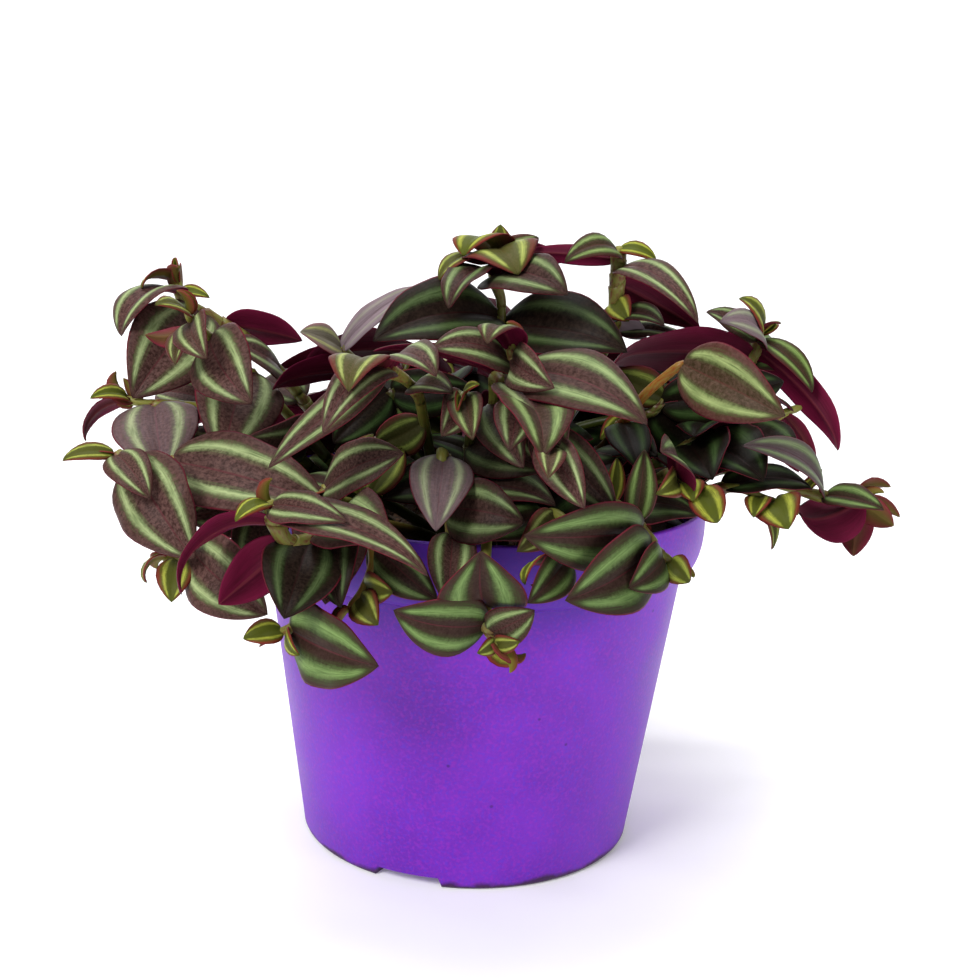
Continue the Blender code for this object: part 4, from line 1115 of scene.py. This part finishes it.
def leaf_surface(item, base, age, kind, draw):
    """A leaf as one closed skin. Its midrib is the solid's arc, bowed a little sideways and
    hooked at the tip. Across it each half is an arc that rises from the midrib and bends over to
    its margin, and the margin waves. The underside has a raised midrib."""
    chord = item["chord"]
    size = "large" if chord > FINE_BLADE else "middle" if chord > SMALL_BLADE else "small"
    # Places across (u, -1 to 1) and along (v, 0 to 1), closer together at midrib, edge and ends
    share = np.linspace(0, 1, LEAF_COLUMNS[size] + 1)
    share = share - COLUMN_EASE * np.sin(2 * np.pi * share)
    u = np.concatenate([-share[::-1], share[1:]])
    t = np.linspace(0, 1, LEAF_ROWS[size] + 1)[1:-1]
    v = (t - ROW_EASE * np.sin(2 * np.pi * t))[:, None]
    # The midrib, and the directions across the leaf and out of its upper face
    half = item["arch"] / 2
    bend = chord / (2 * math.sin(half))
    length = bend * item["arch"]
    along, face = np.array(item["along"]), np.array(item["face"])
    side = np.cross(along, face)
    full = np.concatenate([[[0.0]], v, [[1.0]]])
    angle = half * (1 - 2 * full)
    hook = np.clip(full - HOOK_START, 0, None) ** 2 * length * draw.uniform(*HOOK)
    sway = np.sin(np.pi * full) * length * draw.uniform(-SWAY, SWAY)
    normal = face * np.cos(angle) - along * np.sin(angle)
    middle = (
        base + along * bend * (math.sin(half) - np.sin(angle))
        + face * bend * (np.cos(angle) - math.cos(half)) - normal * hook + side * sway
    )
    twist = (full - TWIST_START) * draw.uniform(-TWIST, TWIST) * (1 - age)
    across = (side * np.cos(twist) + normal * np.sin(twist))[1:-1, None]
    upward = (normal * np.cos(twist) - side * np.sin(twist))[1:-1, None]
    width = (outline(full) * item["slim"] * length / 2)[1:-1]
    # Each half's arc, with the wave of its margin
    closed = item.get("closed", 0.0)
    fold = GROWN_FOLD * draw.uniform(*FOLD_SPREAD) * (1 - closed) + YOUNG_FOLD * closed
    camber = GROWN_CAMBER * draw.uniform(*CAMBER_SPREAD) * (1 - closed) + YOUNG_CAMBER * closed
    slope = fold - camber * np.abs(u)
    out = np.sign(u) * (math.sin(fold) - np.sin(slope)) / camber
    lift = (np.cos(slope) - math.cos(fold)) / camber
    out = out * (1 + HALF_SPREAD * draw.uniform(-1, 1) * np.sign(u))
    waves = draw.uniform(*WAVES)
    phase = np.where(u > 0, draw.uniform(0, FULL_TURN), draw.uniform(0, FULL_TURN))
    wave = EDGE_WAVE * draw.uniform(*WAVE_SPREAD) * np.abs(u) ** 2.2
    wave = wave * np.sin(2 * np.pi * waves * v + phase) * np.sin(np.pi * v) ** 0.5 * (1 - age)
    sheet = (
        middle[1:-1, None] + across * (out * width)[..., None]
        + upward * ((lift + wave) * width)[..., None]
    )
    # Both faces, half the leaf's thickness out, and the rib below
    lean = (slope * np.sign(u))[:, None]
    skin = upward * np.cos(lean) - across * np.sin(lean)
    body = LEAF_THICKNESS / 2 * np.sqrt(np.clip(1 - u**4, 0, 1))
    rib = RIB_HEIGHT * np.exp(-((u / RIB_WIDTH) ** 2)) * (1 - v)
    upper = sheet + skin * body[:, None]
    lower = sheet - skin * (body + rib)[..., None]
    ring = np.concatenate([upper, lower[:, -2:0:-1]], axis=1)
    points = np.concatenate([ring.reshape(-1, 3), middle[0][None], middle[-1][None]])
    rows, columns = ring.shape[:2]
    ring_u = np.concatenate([u, u[-2:0:-1]])
    uv = np.stack(np.broadcast_arrays((ring_u + 1) / 2, v), -1).reshape(-1, 2)
    uv = np.concatenate([uv, [[0.5, 0.0], [0.5, 1.0]]])
    # Painted shade: deep in the clump, or the shadow of other leaves from SHADED
    shade = np.maximum(gloom(points), look(SHADED, item))
    slot = (np.arange(columns) >= len(u) - 1).astype(int)
    return surface(
        points, *closed_faces(rows, columns), uv, (age, kind, shade, look(SHEEN_AND_DRY_PALE, item)),
        np.tile(slot, rows - 1), np.tile(slot, 2))


def pot_surface():
    """The pot: its profile turned round the Z axis, with the foot lifted at each drain notch."""
    skirt_foot = POT_HEIGHT - SKIRT_HEIGHT
    lip = np.linspace(0.5, 0, 7)[:, None] * np.pi
    skirt = np.linspace(0, 0.5, 14)[:, None] * np.pi
    heel = np.linspace(0, 0.5, 6)[:, None] * np.pi
    wall = np.linspace(0, 1, 30)[1:-1, None]
    body_top = np.array([[BODY_TOP_RADIUS, skirt_foot]])
    body_foot = np.array([[BASE_RADIUS + 0.4, 1.5]])
    notch_end = BASE_RADIUS - NOTCH_DEPTH
    inner_base, inner_rim = BASE_RADIUS - WALL, RIM_RADIUS - WALL
    lip_x, lip_z = RIM_RADIUS - LIP, POT_HEIGHT - LIP
    flare_x = RIM_RADIUS - FLARE + FLARE * np.cos(skirt) ** 0.8
    flare_z = skirt_foot + FLARE_HEIGHT * (1 - np.sin(skirt))
    profile = np.concatenate([
        [(12.0, FLOOR), (inner_base - 1.5, FLOOR), (inner_base + 0.4, FLOOR + 1.5)],
        [(BODY_TOP_RADIUS - WALL, skirt_foot + 0.8), (inner_rim - 1.6, skirt_foot + 4.0)],
        [(inner_rim, POT_HEIGHT - 6.0), (inner_rim + 0.1, POT_HEIGHT - 1.0)],
        np.hstack([lip_x + LIP * np.cos(lip), lip_z + LIP * np.sin(lip)]),
        np.hstack([flare_x, flare_z]),
        body_top + (body_foot - body_top) * wall,
        np.hstack([BASE_RADIUS + 0.4 - HEEL + HEEL * np.cos(heel), HEEL - HEEL * np.sin(heel)]),
        [(notch_end + 0.2, 0.0), (notch_end, 0.0)],
    ])
    radius, height = profile[:, :1], profile[:, 1:]
    around, pitch = circle(POT_STEPS), 2 * np.pi / NOTCHES
    from_notch = (around - NOTCH_TURN + pitch / 2) % pitch - pitch / 2
    in_notch = np.abs(from_notch) < math.asin(NOTCH_WIDTH / 2 / BASE_RADIUS)
    outside = np.arange(len(profile))[:, None] > 20
    under = outside & (radius > notch_end + 0.1)
    height = np.where(under & in_notch, np.maximum(height, NOTCH_HEIGHT), height)
    around = np.broadcast_to(around, height.shape)
    points = np.stack([radius * np.cos(around), radius * np.sin(around), height], -1)
    points = np.concatenate([points.reshape(-1, 3), [[0, 0, FLOOR], [0, 0, 0]]])
    return surface(points, *closed_faces(len(profile), POT_STEPS, flip=True))


def make_pot(plastic):
    """The pot, with its drain holes cut."""
    pot = piece("nursery_pot", [pot_surface()], [plastic], "pot_plastic", "pot")
    drills = bpy.data.collections.new("drills")
    reach = (BASE_RADIUS - DRAIN_INSET) * MM
    for index in range(NOTCHES):
        turn = NOTCH_TURN + 2 * math.pi * index / NOTCHES
        bpy.ops.mesh.primitive_cylinder_add(
            vertices=36, radius=DRAIN_RADIUS * MM, depth=FLOOR * 4 * MM,
            location=(reach * math.cos(turn), reach * math.sin(turn), 0))
        drill = bpy.context.active_object
        for home in list(drill.users_collection):
            home.objects.unlink(drill)
        drills.objects.link(drill)
    cut = pot.modifiers.new("drains", "BOOLEAN")
    cut.operation = "DIFFERENCE"
    cut.operand_type = "COLLECTION"
    cut.collection = drills
    cut.solver = "EXACT"
    graph = bpy.context.evaluated_depsgraph_get()
    pot_mesh = bpy.data.meshes.new_from_object(pot.evaluated_get(graph))
    pot.modifiers.clear()
    pot.data = pot_mesh
    for drill in list(drills.objects):
        bpy.data.objects.remove(drill)
    bpy.data.collections.remove(drills)
    pot_mesh.set_sharp_from_angle(angle=SHARP_ANGLE)


def lumps(x, y, size, table):
    """Smooth random heights from -1 to 1: a lattice of that size, eased between its points."""
    column, row = x / size, y / size
    i, j = np.floor(column).astype(int), np.floor(row).astype(int)
    fx, fy = column - i, row - j
    fx, fy = fx * fx * (3 - 2 * fx), fy * fy * (3 - 2 * fy)
    i, j, i_next, j_next = (place % len(table) for place in (i, j, i + 1, j + 1))
    low = table[i, j] * (1 - fx) + table[i_next, j] * fx
    high = table[i, j_next] * (1 - fx) + table[i_next, j_next] * fx
    return low * (1 - fy) + high * fy


def relief(x, y, table):
    """The compost's height over its level: lumps of four sizes, flat at the pot's wall."""
    height = sum(
        lumps(x + 9 * k, y - 5 * k, LUMP_SIZE / 2**k, table) * LUMP_HEIGHT / LUMP_FADE**k
        for k in range(4)
    )
    return SOIL_TOP + height * np.clip((RIM_RADIUS - 3 - np.hypot(x, y)) / 6, 0.2, 1)


def twenty_sided():
    """The corners of a regular solid of twenty triangles, and the triangles: every three
    corners that lie side by side, turned outwards."""
    golden = (1 + 5**0.5) / 2
    corner = np.array([(0, a, b * golden) for a in (-1, 1) for b in (-1, 1)])
    corner = np.concatenate([corner, corner[:, [1, 2, 0]], corner[:, [2, 0, 1]]]) / 1.9
    apart = np.linalg.norm(corner[:, None] - corner[None], axis=2)
    near = (apart > 0.1) & (apart < 1.2)
    a, b, c = np.meshgrid(*[np.arange(CRUMB_CORNERS)] * 3, indexing="ij")
    found = (a < b) & (a < c) & near[a, b] & near[b, c] & near[a, c]
    sides = np.stack([a[found], b[found], c[found]], 1)
    first, second, third = (corner[sides[:, i]] for i in range(3))
    outward = (np.cross(second - first, third - first) * first).sum(1) > 0
    return corner, sides[outward]


def make_compost(earth, draw):
    """The compost: a lumpy round surface closed down the pot's inside, and crumbs half sunk
    in it, each a twenty-sided lump stretched and turned at random."""
    table = draw.uniform(-1, 1, (LUMP_LATTICE, LUMP_LATTICE))
    top = np.linspace(0, 1, SOIL_ROWS)[1:, None] * (RIM_RADIUS - WALL - 1.7)
    wall = np.array(pot_profile()[2:0:-1]) + [-GAP, GAP]
    around = circle(SOIL_STEPS)
    radius = np.concatenate([top, wall[:, :1]])
    x, y = radius * np.cos(around), radius * np.sin(around)
    low = np.repeat(wall[:, 1:], SOIL_STEPS, 1)
    height = np.concatenate([relief(x[:len(top)], y[:len(top)], table), low])
    points = np.stack([x, y, height], -1).reshape(-1, 3)
    points = np.concatenate([points, [[0, 0, SOIL_TOP], [0, 0, FLOOR + GAP]]])
    bed = surface(points, *closed_faces(len(radius), SOIL_STEPS, flip=True))
    corner, sides = twenty_sided()
    shape = corner * draw.uniform(*CRUMB_RAGGED, (CRUMBS, CRUMB_CORNERS, 1))
    size = draw.gamma(*CRUMB_SIZES, (CRUMBS, 1, 1)) + LEAST_CRUMB
    shape = shape * size * draw.uniform(*CRUMB_STRETCH, (CRUMBS, 1, 3))
    turns = np.linalg.qr(draw.normal(size=(CRUMBS, 3, 3)))[0]
    turns[np.linalg.det(turns) < 0, :, 0] *= -1
    shape = np.einsum("nij,nkj->nki", turns, shape)
    reach = (RIM_RADIUS - 4.5) * np.sqrt(draw.random(CRUMBS))
    turn = draw.uniform(0, 2 * np.pi, CRUMBS)
    x, y = reach * np.cos(turn), reach * np.sin(turn)
    place = np.stack([x, y, relief(x, y, table) + CRUMB_RISE], -1)
    bark = np.repeat(draw.random(CRUMBS), CRUMB_CORNERS)
    crumbs = surface(
        shape + place[:, None], np.zeros((0, 4), int),
        sides + CRUMB_CORNERS * np.arange(CRUMBS)[:, None, None], growth=(bark, bark, bark, 1))
    piece("compost", [bed, crumbs], [earth], "compost", "soil")


def make_shoots(materials, draw):
    """Every leafy stem, leaf by leaf, in place of its solid."""
    for stem in grow():
        name = stem["name"]
        line = StemLine(stem["root"], stem["route"])
        own_look = draw.random(), RUDDY.get(name, 0.0), STOUT.get(name, 0.0)
        skins, knots = [], []
        for item in stem["leaves"]:
            distance, base = line.nearest(np.array(item["base"]))
            age = look(AGES, item, item.get("age", 0.0))
            x, _, z = item["base"]
            # Leaves on the right, away from the key light, and low in front are greener with a
            # darker ground: partly their own colour, partly painted shade
            kind = 0.4 + x / 200 + 0.3 * (z < LOW_LEAF and x > -30)
            kind = float(np.clip(kind + draw.uniform(-KIND_SPREAD, KIND_SPREAD), 0, 1))
            skins.append(leaf_surface(item, base, age, look(KINDS, item, kind), draw))
            if age < SHEATHED_AGE and distance > LOWEST_SHEATH:
                knots.append(distance)
                toward = np.array(item["along"])
                across = line.at(distance, line.across) @ toward
                upward = line.at(distance, line.upward) @ toward
                skins.append(sheath_surface(line, distance, math.atan2(upward, across), *own_look))
        for owner, *ends, wish, slim in EXTRA_LEAVES.get(name, ()):
            base, tip = (Vector(end) for end in ends)
            item = dict(leaf(base, tip, Vector(wish), EXTRA_ARCH, slim), owner=owner, row=0)
            own_draw = np.random.default_rng(SEED)
            skins.append(leaf_surface(item, np.array(base), 0.0, EXTRA_KIND, own_draw))
        skins.append(stem_surface(line, np.array(knots or [0.0]), *own_look))
        piece("leafy_stem_" + name, skins, materials, "foliage", "shoot_" + name)


def leaf_pattern(tree, shift, stretch):
    """What both faces of a leaf share: its traits, the distance from its midrib (0) to its edge
    (1), the place along it, its own spot in the noises and streaks between parallel veins."""
    colour, _, _, sheen_and_pallor = add(tree, "Attribute", attribute_name="growth", **ALL)
    traits = add(tree, "SeparateColor", {0: colour}, **ALL)
    x, along, _ = add(tree, "SeparateXYZ", {0: add(tree, "UVMap", uv_map="leaf")}, **ALL)
    across = add(tree, "Math", {0: x, 1: 2.0, 2: -1.0}, operation="MULTIPLY_ADD")
    edge = add(tree, "Math", {0: across}, operation="ABSOLUTE")
    own = add(tree, "Math", {0: traits[1], 1: shift}, **TIMES)
    spot = add(tree, "CombineXYZ", {0: across, 1: along, 2: own})
    fine = add(tree, "VectorMath", {0: spot, 1: stretch}, **TIMES)
    streak = add(tree, "TexNoise", {"Vector": fine, "Scale": 1.0, "Detail": 3.0})
    return (*traits, sheen_and_pallor), edge, along, spot, streak


def upper_skin():
    """The upper side of a living leaf: wax-coated, with a silky sheen from its air-filled cells,
    two silver-green stripes on a mottled purple-brown ground and a thin crimson margin. Painted
    shade darkens it inside the clump, and a few leaves have a painted lilac sheen."""
    made, tree, shader = new_material("striped_leaf_upper")
    # Streaks 0.4 mm apart on a leaf 16 mm wide
    traits, edge, along, spot, streak = leaf_pattern(tree, 91.7, (20.0, 5.0, 1.0))
    age, tone, shade, sheen_and_pallor = traits
    # Mottling about 1 mm across
    coarse = add(tree, "VectorMath", {0: spot, 1: (9.0, 33.0, 1.0)}, **TIMES)
    mottle = {"Vector": coarse, "Scale": 1.0, "Detail": 4.0, "Roughness": 0.7}
    mottle = add(tree, "MapRange", {0: add(tree, "TexNoise", mottle), 1: 0.36, 2: 0.64})
    # A stripe lies a little over half way out, is narrower on greener leaves, frays along the
    # streaks and fades at the leaf's foot and tip
    wander = add(tree, "Math", {0: mottle, 1: 0.045, 2: -0.575}, operation="MULTIPLY_ADD")
    offset = add(tree, "Math", {0: edge, 1: wander}, operation="ADD")
    offset = add(tree, "Math", {0: offset}, operation="ABSOLUTE")
    breadth = add(tree, "MapRange", {0: tone, 3: 1.15, 4: 0.70})
    offset = add(tree, "Math", {0: offset, 1: breadth}, **TIMES)
    frayed = add(tree, "Math", {0: streak, 1: 0.24, 2: offset}, operation="MULTIPLY_ADD")
    band = add(tree, "MapRange", {0: frayed, 1: 0.40, 2: 0.13}, **SMOOTH)
    for start, end in ((0.01, 0.12), (0.985, 0.84)):
        fade = add(tree, "MapRange", {0: along, 1: start, 2: end}, **SMOOTH)
        band = add(tree, "Math", {0: band, 1: fade}, **TIMES)
    bright = add(tree, "Math", {0: streak, 1: band}, **TIMES)
    bright = add(tree, "MapRange", {0: bright, 1: 0.2, 2: 0.6})
    silver, mossy, fresh = (
        add(tree, "Mix", {0: bright, 6: dark, 7: light}, **MIX)
        for dark, light in (("#4b5a34", "#98a674"), ("#32481f", "#6c874c"), ("#4a5019", "#a0a43c"))
    )
    # Greener leaves have darker stripes and ground: partly their own colour, partly painted shade
    greener = add(tree, "MapRange", {0: tone, 1: 0.3, 2: 0.9, 4: 0.9})
    stripe = add(tree, "Mix", {0: greener, 6: silver, 7: mossy}, **MIX)
    darker_ground_and_shade = add(tree, "Math", {0: greener, 1: 0.85}, **TIMES)
    outer = add(tree, "MapRange", {0: edge, 1: 0.62, 2: 0.85, 4: 0.28})
    rib = add(tree, "MapRange", {0: edge, 1: 0.045, 2: 0.01, 4: 0.6}, **SMOOTH)
    colour = add(tree, "Mix", {0: mottle, 6: "#2e1b18", 7: "#5a403b"}, **MIX)
    for share, layer in ((darker_ground_and_shade, "#2b1d17"), (outer, "#432a26"), (band, stripe), (rib, "#54242a")):
        colour = add(tree, "Mix", {0: share, 6: colour, 7: layer}, **MIX)
    # Painted shade inside the clump and under other leaves
    colour = add(tree, "Mix", {0: shade, 6: colour, 7: UPPER_GLOOM}, **DARKEN)
    # Painted lilac sheen on a few leaves, paler along the veins; on the dry scrap the same layer
    # is its own pale colour
    sheen_and_pallor_mask = add(tree, "MapRange", {0: streak, 1: 0.3, 2: 0.7, 3: 0.5, 4: 1.0})
    sheen_and_pallor_mask = add(tree, "Math", {0: sheen_and_pallor_mask, 1: sheen_and_pallor}, **TIMES)
    # Young leaves: yellow-green, orange-red towards the margin
    rusty = add(tree, "Math", {0: streak, 1: 0.5, 2: edge}, operation="MULTIPLY_ADD")
    rusty = add(tree, "MapRange", {0: rusty, 1: 0.85, 2: 1.2}, **SMOOTH)
    fresh = add(tree, "Mix", {0: rusty, 6: fresh, 7: "#6e2a20"}, **MIX)
    youth = add(tree, "MapRange", {0: age, 1: 0.15, 2: 0.85}, **SMOOTH)
    hem = add(tree, "MapRange", {0: edge, 1: 0.945, 2: 0.99, 4: 0.85}, **SMOOTH)
    for share, layer in ((sheen_and_pallor_mask, "#8d7c84"), (youth, fresh), (hem, "#6c1a2c")):
        colour = add(tree, "Mix", {0: share, 6: colour, 7: layer}, **MIX)
    # Veins stand 0.05 mm proud
    fill(shader, {
        "Base Color": colour,
        "Roughness": add(tree, "MapRange", {0: streak, 3: 0.36, 4: 0.52}),
        "Normal": add(tree, "Bump", {"Height": streak, "Strength": 0.5, "Distance": 0.00012}),
        "IOR": 1.45,
        "Specular IOR Level": 0.07,
        "Sheen Weight": 0.01,
        "Sheen Roughness": 0.4,
        "Sheen Tint": "#cdb6d8",
    })
    return made


def under_skin():
    """The underside of a living leaf: satin burgundy with fine paler veins, olive when young."""
    made, tree, shader = new_material("burgundy_leaf_underside")
    (age, _, shade, _), edge, _, _, streak = leaf_pattern(tree, 57.3, (16.0, 4.0, 1.0))
    pale = add(tree, "MapRange", {0: edge, 1: 0.3, 2: 1.0, 4: 0.5})
    rib = add(tree, "MapRange", {0: edge, 1: 0.09, 2: 0.03, 4: 0.5}, **SMOOTH)
    colour = add(tree, "Mix", {0: streak, 6: "#300613", 7: "#5c0d2c"}, **MIX)
    for share, layer in ((pale, "#7a1a3e"), (rib, "#6a2c34")):
        colour = add(tree, "Mix", {0: share, 6: colour, 7: layer}, **MIX)
    # Painted shade inside the clump
    colour = add(tree, "Mix", {0: shade, 6: colour, 7: UNDER_GLOOM}, **DARKEN)
    youth = add(tree, "MapRange", {0: age, 1: 0.3, 2: 1.0, 4: 0.8})
    fresh = add(tree, "Mix", {0: edge, 6: "#6f7428", 7: "#6e2c22"}, **MIX)
    fill(shader, {
        "Base Color": add(tree, "Mix", {0: youth, 6: colour, 7: fresh}, **MIX),
        "Roughness": 0.55,
        "Normal": add(tree, "Bump", {"Height": streak, "Strength": 0.5, "Distance": 0.00012}),
        "IOR": 1.45,
        "Specular IOR Level": 0.08,
    })
    return made


def stem_skin(name, pale, green, red, reach):
    """A juicy stem's skin: smooth and satin, yellow-green with red-brown flecks drawn out along
    it, redder at the leaves, and rust-brown on ruddy stems."""
    made, tree, shader = new_material(name)
    traits, _, _, ruddy = add(tree, "Attribute", attribute_name="growth", **ALL)
    shade, tone, near = add(tree, "SeparateColor", {0: traits}, **ALL)
    place = {0: add(tree, "UVMap", uv_map="leaf"), 1: (9.0, 3.5, 1.0)}
    place[2] = add(tree, "CombineXYZ", {2: tone})
    place = add(tree, "VectorMath", place, operation="MULTIPLY_ADD")
    fleck = add(tree, "TexNoise", {"Vector": place, "Scale": 1.6, "Detail": 4.0})
    flecked = add(tree, "Math", {0: near, 1: reach, 2: fleck}, operation="MULTIPLY_ADD")
    flecked = add(tree, "MapRange", {0: flecked, 1: 0.52, 2: 0.95}, **SMOOTH)
    rusty = add(tree, "Math", {0: fleck, 1: ruddy}, **TIMES)
    rusty = add(tree, "MapRange", {0: rusty, 1: 0.10, 2: 0.45})
    colour = add(tree, "Mix", {0: fleck, 6: green, 7: pale}, **MIX)
    for share, layer in ((flecked, red), (rusty, "#7c4118")):
        colour = add(tree, "Mix", {0: share, 6: colour, 7: layer}, **MIX)
    # Painted shade inside the clump darkens the base colour
    fill(shader, {
        "Base Color": add(tree, "Mix", {0: shade, 6: colour, 7: STEM_GLOOM}, **DARKEN),
        "Roughness": 0.38,
        "IOR": 1.42,
        "Specular IOR Level": 0.3,
    })
    return made


def pot_plastic():
    """Injection-moulded polypropylene, violet: a satin face with a fine eroded grain, drawn 0.4 mm
    wide so that it shows, slight clouding, and a few specks of dust. It is darker in a ragged line
    at the foot and has a painted shadow under the leaves that hang over the rim."""
    made, tree, shader = new_material("violet_polypropylene")
    place = add(tree, "TexCoord", give="Object")
    x, _, height = add(tree, "SeparateXYZ", {0: place}, **ALL)
    cloud, grain, ragged = (
        add(tree, "TexNoise", {"Vector": place, "Scale": scale, "Detail": detail})
        for scale, detail in ((45.0, 3.0), (1400.0, 2.0), (160.0, 4.0))
    )
    cloud = add(tree, "MapRange", {0: cloud, 1: 0.35, 2: 0.65})
    fine = add(tree, "MapRange", {0: grain, 1: 0.3, 2: 0.7, 4: 0.22})
    # Pigment that never mixed fully: blue and pink mottling about 0.7 mm wide
    pigment = {"Vector": place, "Scale": 1150.0, "Detail": 2.0}
    pigment = add(tree, "TexNoise", pigment, give="Color")
    blue, pink = (
        add(tree, "MapRange", {0: channel, 1: 0.5, 2: 0.68, 4: 0.35})
        for channel in add(tree, "SeparateColor", {0: pigment}, **ALL)[:2]
    )
    # Specks under a millimetre wide, one every centimetre or so
    speck = add(tree, "TexVoronoi", {"Vector": place, "Scale": 95.0, "Randomness": 1.0})
    speck = add(tree, "MapRange", {0: speck, 1: 0.055, 2: 0.03, 4: 0.6})
    # Darker brown in a ragged line up to 2 mm above the foot
    ragged = add(tree, "Math", {0: ragged, 1: -0.004, 2: height}, operation="MULTIPLY_ADD")
    dark_foot_line = add(tree, "MapRange", {0: ragged, 1: 0.0, 2: -0.0012, 4: 0.85})
    # Painted shadow of the leaves that hang over the rim: bluer and darker towards the rim, except
    # on the right
    high = add(tree, "MapRange", {0: height, 1: 0.062, 2: 0.082}, **SMOOTH)
    under = add(tree, "MapRange", {0: x, 1: 0.046, 2: 0.022, 4: 0.75}, **SMOOTH)
    under = add(tree, "Math", {0: high, 1: under}, **TIMES)
    colour = add(tree, "Mix", {0: cloud, 6: "#611aa0", 7: "#6f22b0"}, **MIX)
    for share, layer in (
        (fine, "#7d32b8"), (blue, "#4a30c4"), (pink, "#9a26ae"), (speck, "#2c1054"),
        (dark_foot_line, "#2a1713"), (under, "#34187e"),
    ):
        colour = add(tree, "Mix", {0: share, 6: colour, 7: layer}, **MIX)
    fill(shader, {
        "Base Color": colour,
        "Roughness": add(tree, "MapRange", {0: cloud, 3: 0.40, 4: 0.50}),
        "Normal": add(tree, "Bump", {"Height": grain, "Strength": 0.35, "Distance": 0.00010}),
        "IOR": 1.49,
        "Specular IOR Level": 0.24,
    })
    return made


def peat():
    """Moist peat and bark compost: matt, almost black between crumbs, with brown fibres."""
    made, tree, shader = new_material("moist_peat")
    place = add(tree, "TexCoord", give="Object")
    bark = add(tree, "SeparateColor", {0: add(tree, "Attribute", attribute_name="growth")})
    bark = add(tree, "Math", {0: bark, 1: 0.55}, **TIMES)
    crumb = {"Vector": place, "Scale": 420.0, "Detail": 6.0, "Roughness": 0.7}
    crumb = add(tree, "TexNoise", crumb)
    colour = add(tree, "Mix", {0: crumb, 6: "#130d09", 7: "#4a3524"}, **MIX)
    fill(shader, {
        "Base Color": add(tree, "Mix", {0: bark, 6: colour, 7: "#5d3f28"}, **MIX),
        "Roughness": 0.92,
        "Normal": add(tree, "Bump", {"Height": crumb, "Strength": 0.8, "Distance": 0.0008}),
    })
    return made


def make_stage():
    """A pale floor that curves up into a backdrop, as one sheet: a profile of a flat run, a
    quarter round and a rise, drawn out sideways. It is lit a little from below, as a light table
    is."""
    paper, _, shader = new_material("pale_studio_paper")
    fill(shader, {
        "Base Color": "#f6f6f7",
        "Roughness": 0.9,
        "Specular IOR Level": 0.2,
        "Emission Color": "#ffffff",
        "Emission Strength": FLOOR_GLOW,
    })
    bend = np.linspace(0, 0.5, 24)[:, None] * np.pi
    curve = np.hstack([BEND_START + BEND_RADIUS * np.sin(bend), BEND_RADIUS * (1 - np.cos(bend))])
    end = [[BEND_START + BEND_RADIUS, BACKDROP_HEIGHT]]
    run = np.concatenate([[[FLOOR_FRONT, 0.0]], curve, end])
    sides = -FLOOR_HALF_WIDTH, FLOOR_HALF_WIDTH
    points = np.concatenate([np.insert(run, 0, x, axis=1) for x in sides])
    first = np.arange(len(run) - 1)
    quads = np.stack([first, first + len(run), first + len(run) + 1, first + 1], 1)
    mesh = bpy.data.meshes.new("studio_floor")
    mesh.from_pydata(points.tolist(), [], quads.tolist())
    mesh.shade_smooth()
    mesh.materials.append(paper)
    floor = put_in_scene("studio_floor", mesh)


def make_light(name, place, aim, size, power):
    """A soft box that faces a point."""
    light = bpy.data.lights.new(name, "AREA")
    light.shape = "RECTANGLE"
    light.size, light.size_y = size
    light.energy = power
    made = put_in_scene(name, light)
    made.location = place
    made.rotation_euler = (Vector(aim) - Vector(place)).to_track_quat("-Z", "Y").to_euler()


def make_camera():
    """The photograph's view, from its fitted camera."""
    lens = bpy.data.cameras.new("camera")
    lens.sensor_width = SENSOR
    lens.lens = FOCAL_PIXELS / FRAME_PIXELS * SENSOR
    lens.clip_start = 0.01
    made = put_in_scene("camera", lens)
    back = Vector((0, -math.cos(CAMERA_ELEVATION), math.sin(CAMERA_ELEVATION)))
    tilt = Matrix.Rotation(math.pi / 2 - CAMERA_ELEVATION, 4, "X")
    turn = tilt @ Matrix.Rotation(CAMERA_ROLL, 4, "Z")
    made.matrix_world = Matrix.Translation((CAMERA_AIM + back * CAMERA_DISTANCE) * MM) @ turn
    bpy.context.scene.camera = made


def make_sky():
    """An even pale surround."""
    world = bpy.data.worlds.new("studio")
    world.use_nodes = True
    fill(world.node_tree.nodes["Background"], {"Color": "#f4f6fa", "Strength": SKY_STRENGTH})
    bpy.context.scene.world = world
    bpy.context.scene.view_settings.view_transform = "Standard"


make_camera()
make_sky()
make_stage()
for name, light in LIGHTS.items():
    make_light(name, *light)

foliage = [
    upper_skin(),
    under_skin(),
    stem_skin("juicy_stem", "#979244", "#5a6026", "#5c2a20", 0.35),
    stem_skin("leaf_sheath", "#8f8c48", "#62682a", "#6c2c2a", 0.22),
]
chance = np.random.default_rng(SEED)
make_pot(pot_plastic())
make_compost(peat(), chance)
make_shoots(foliage, chance)
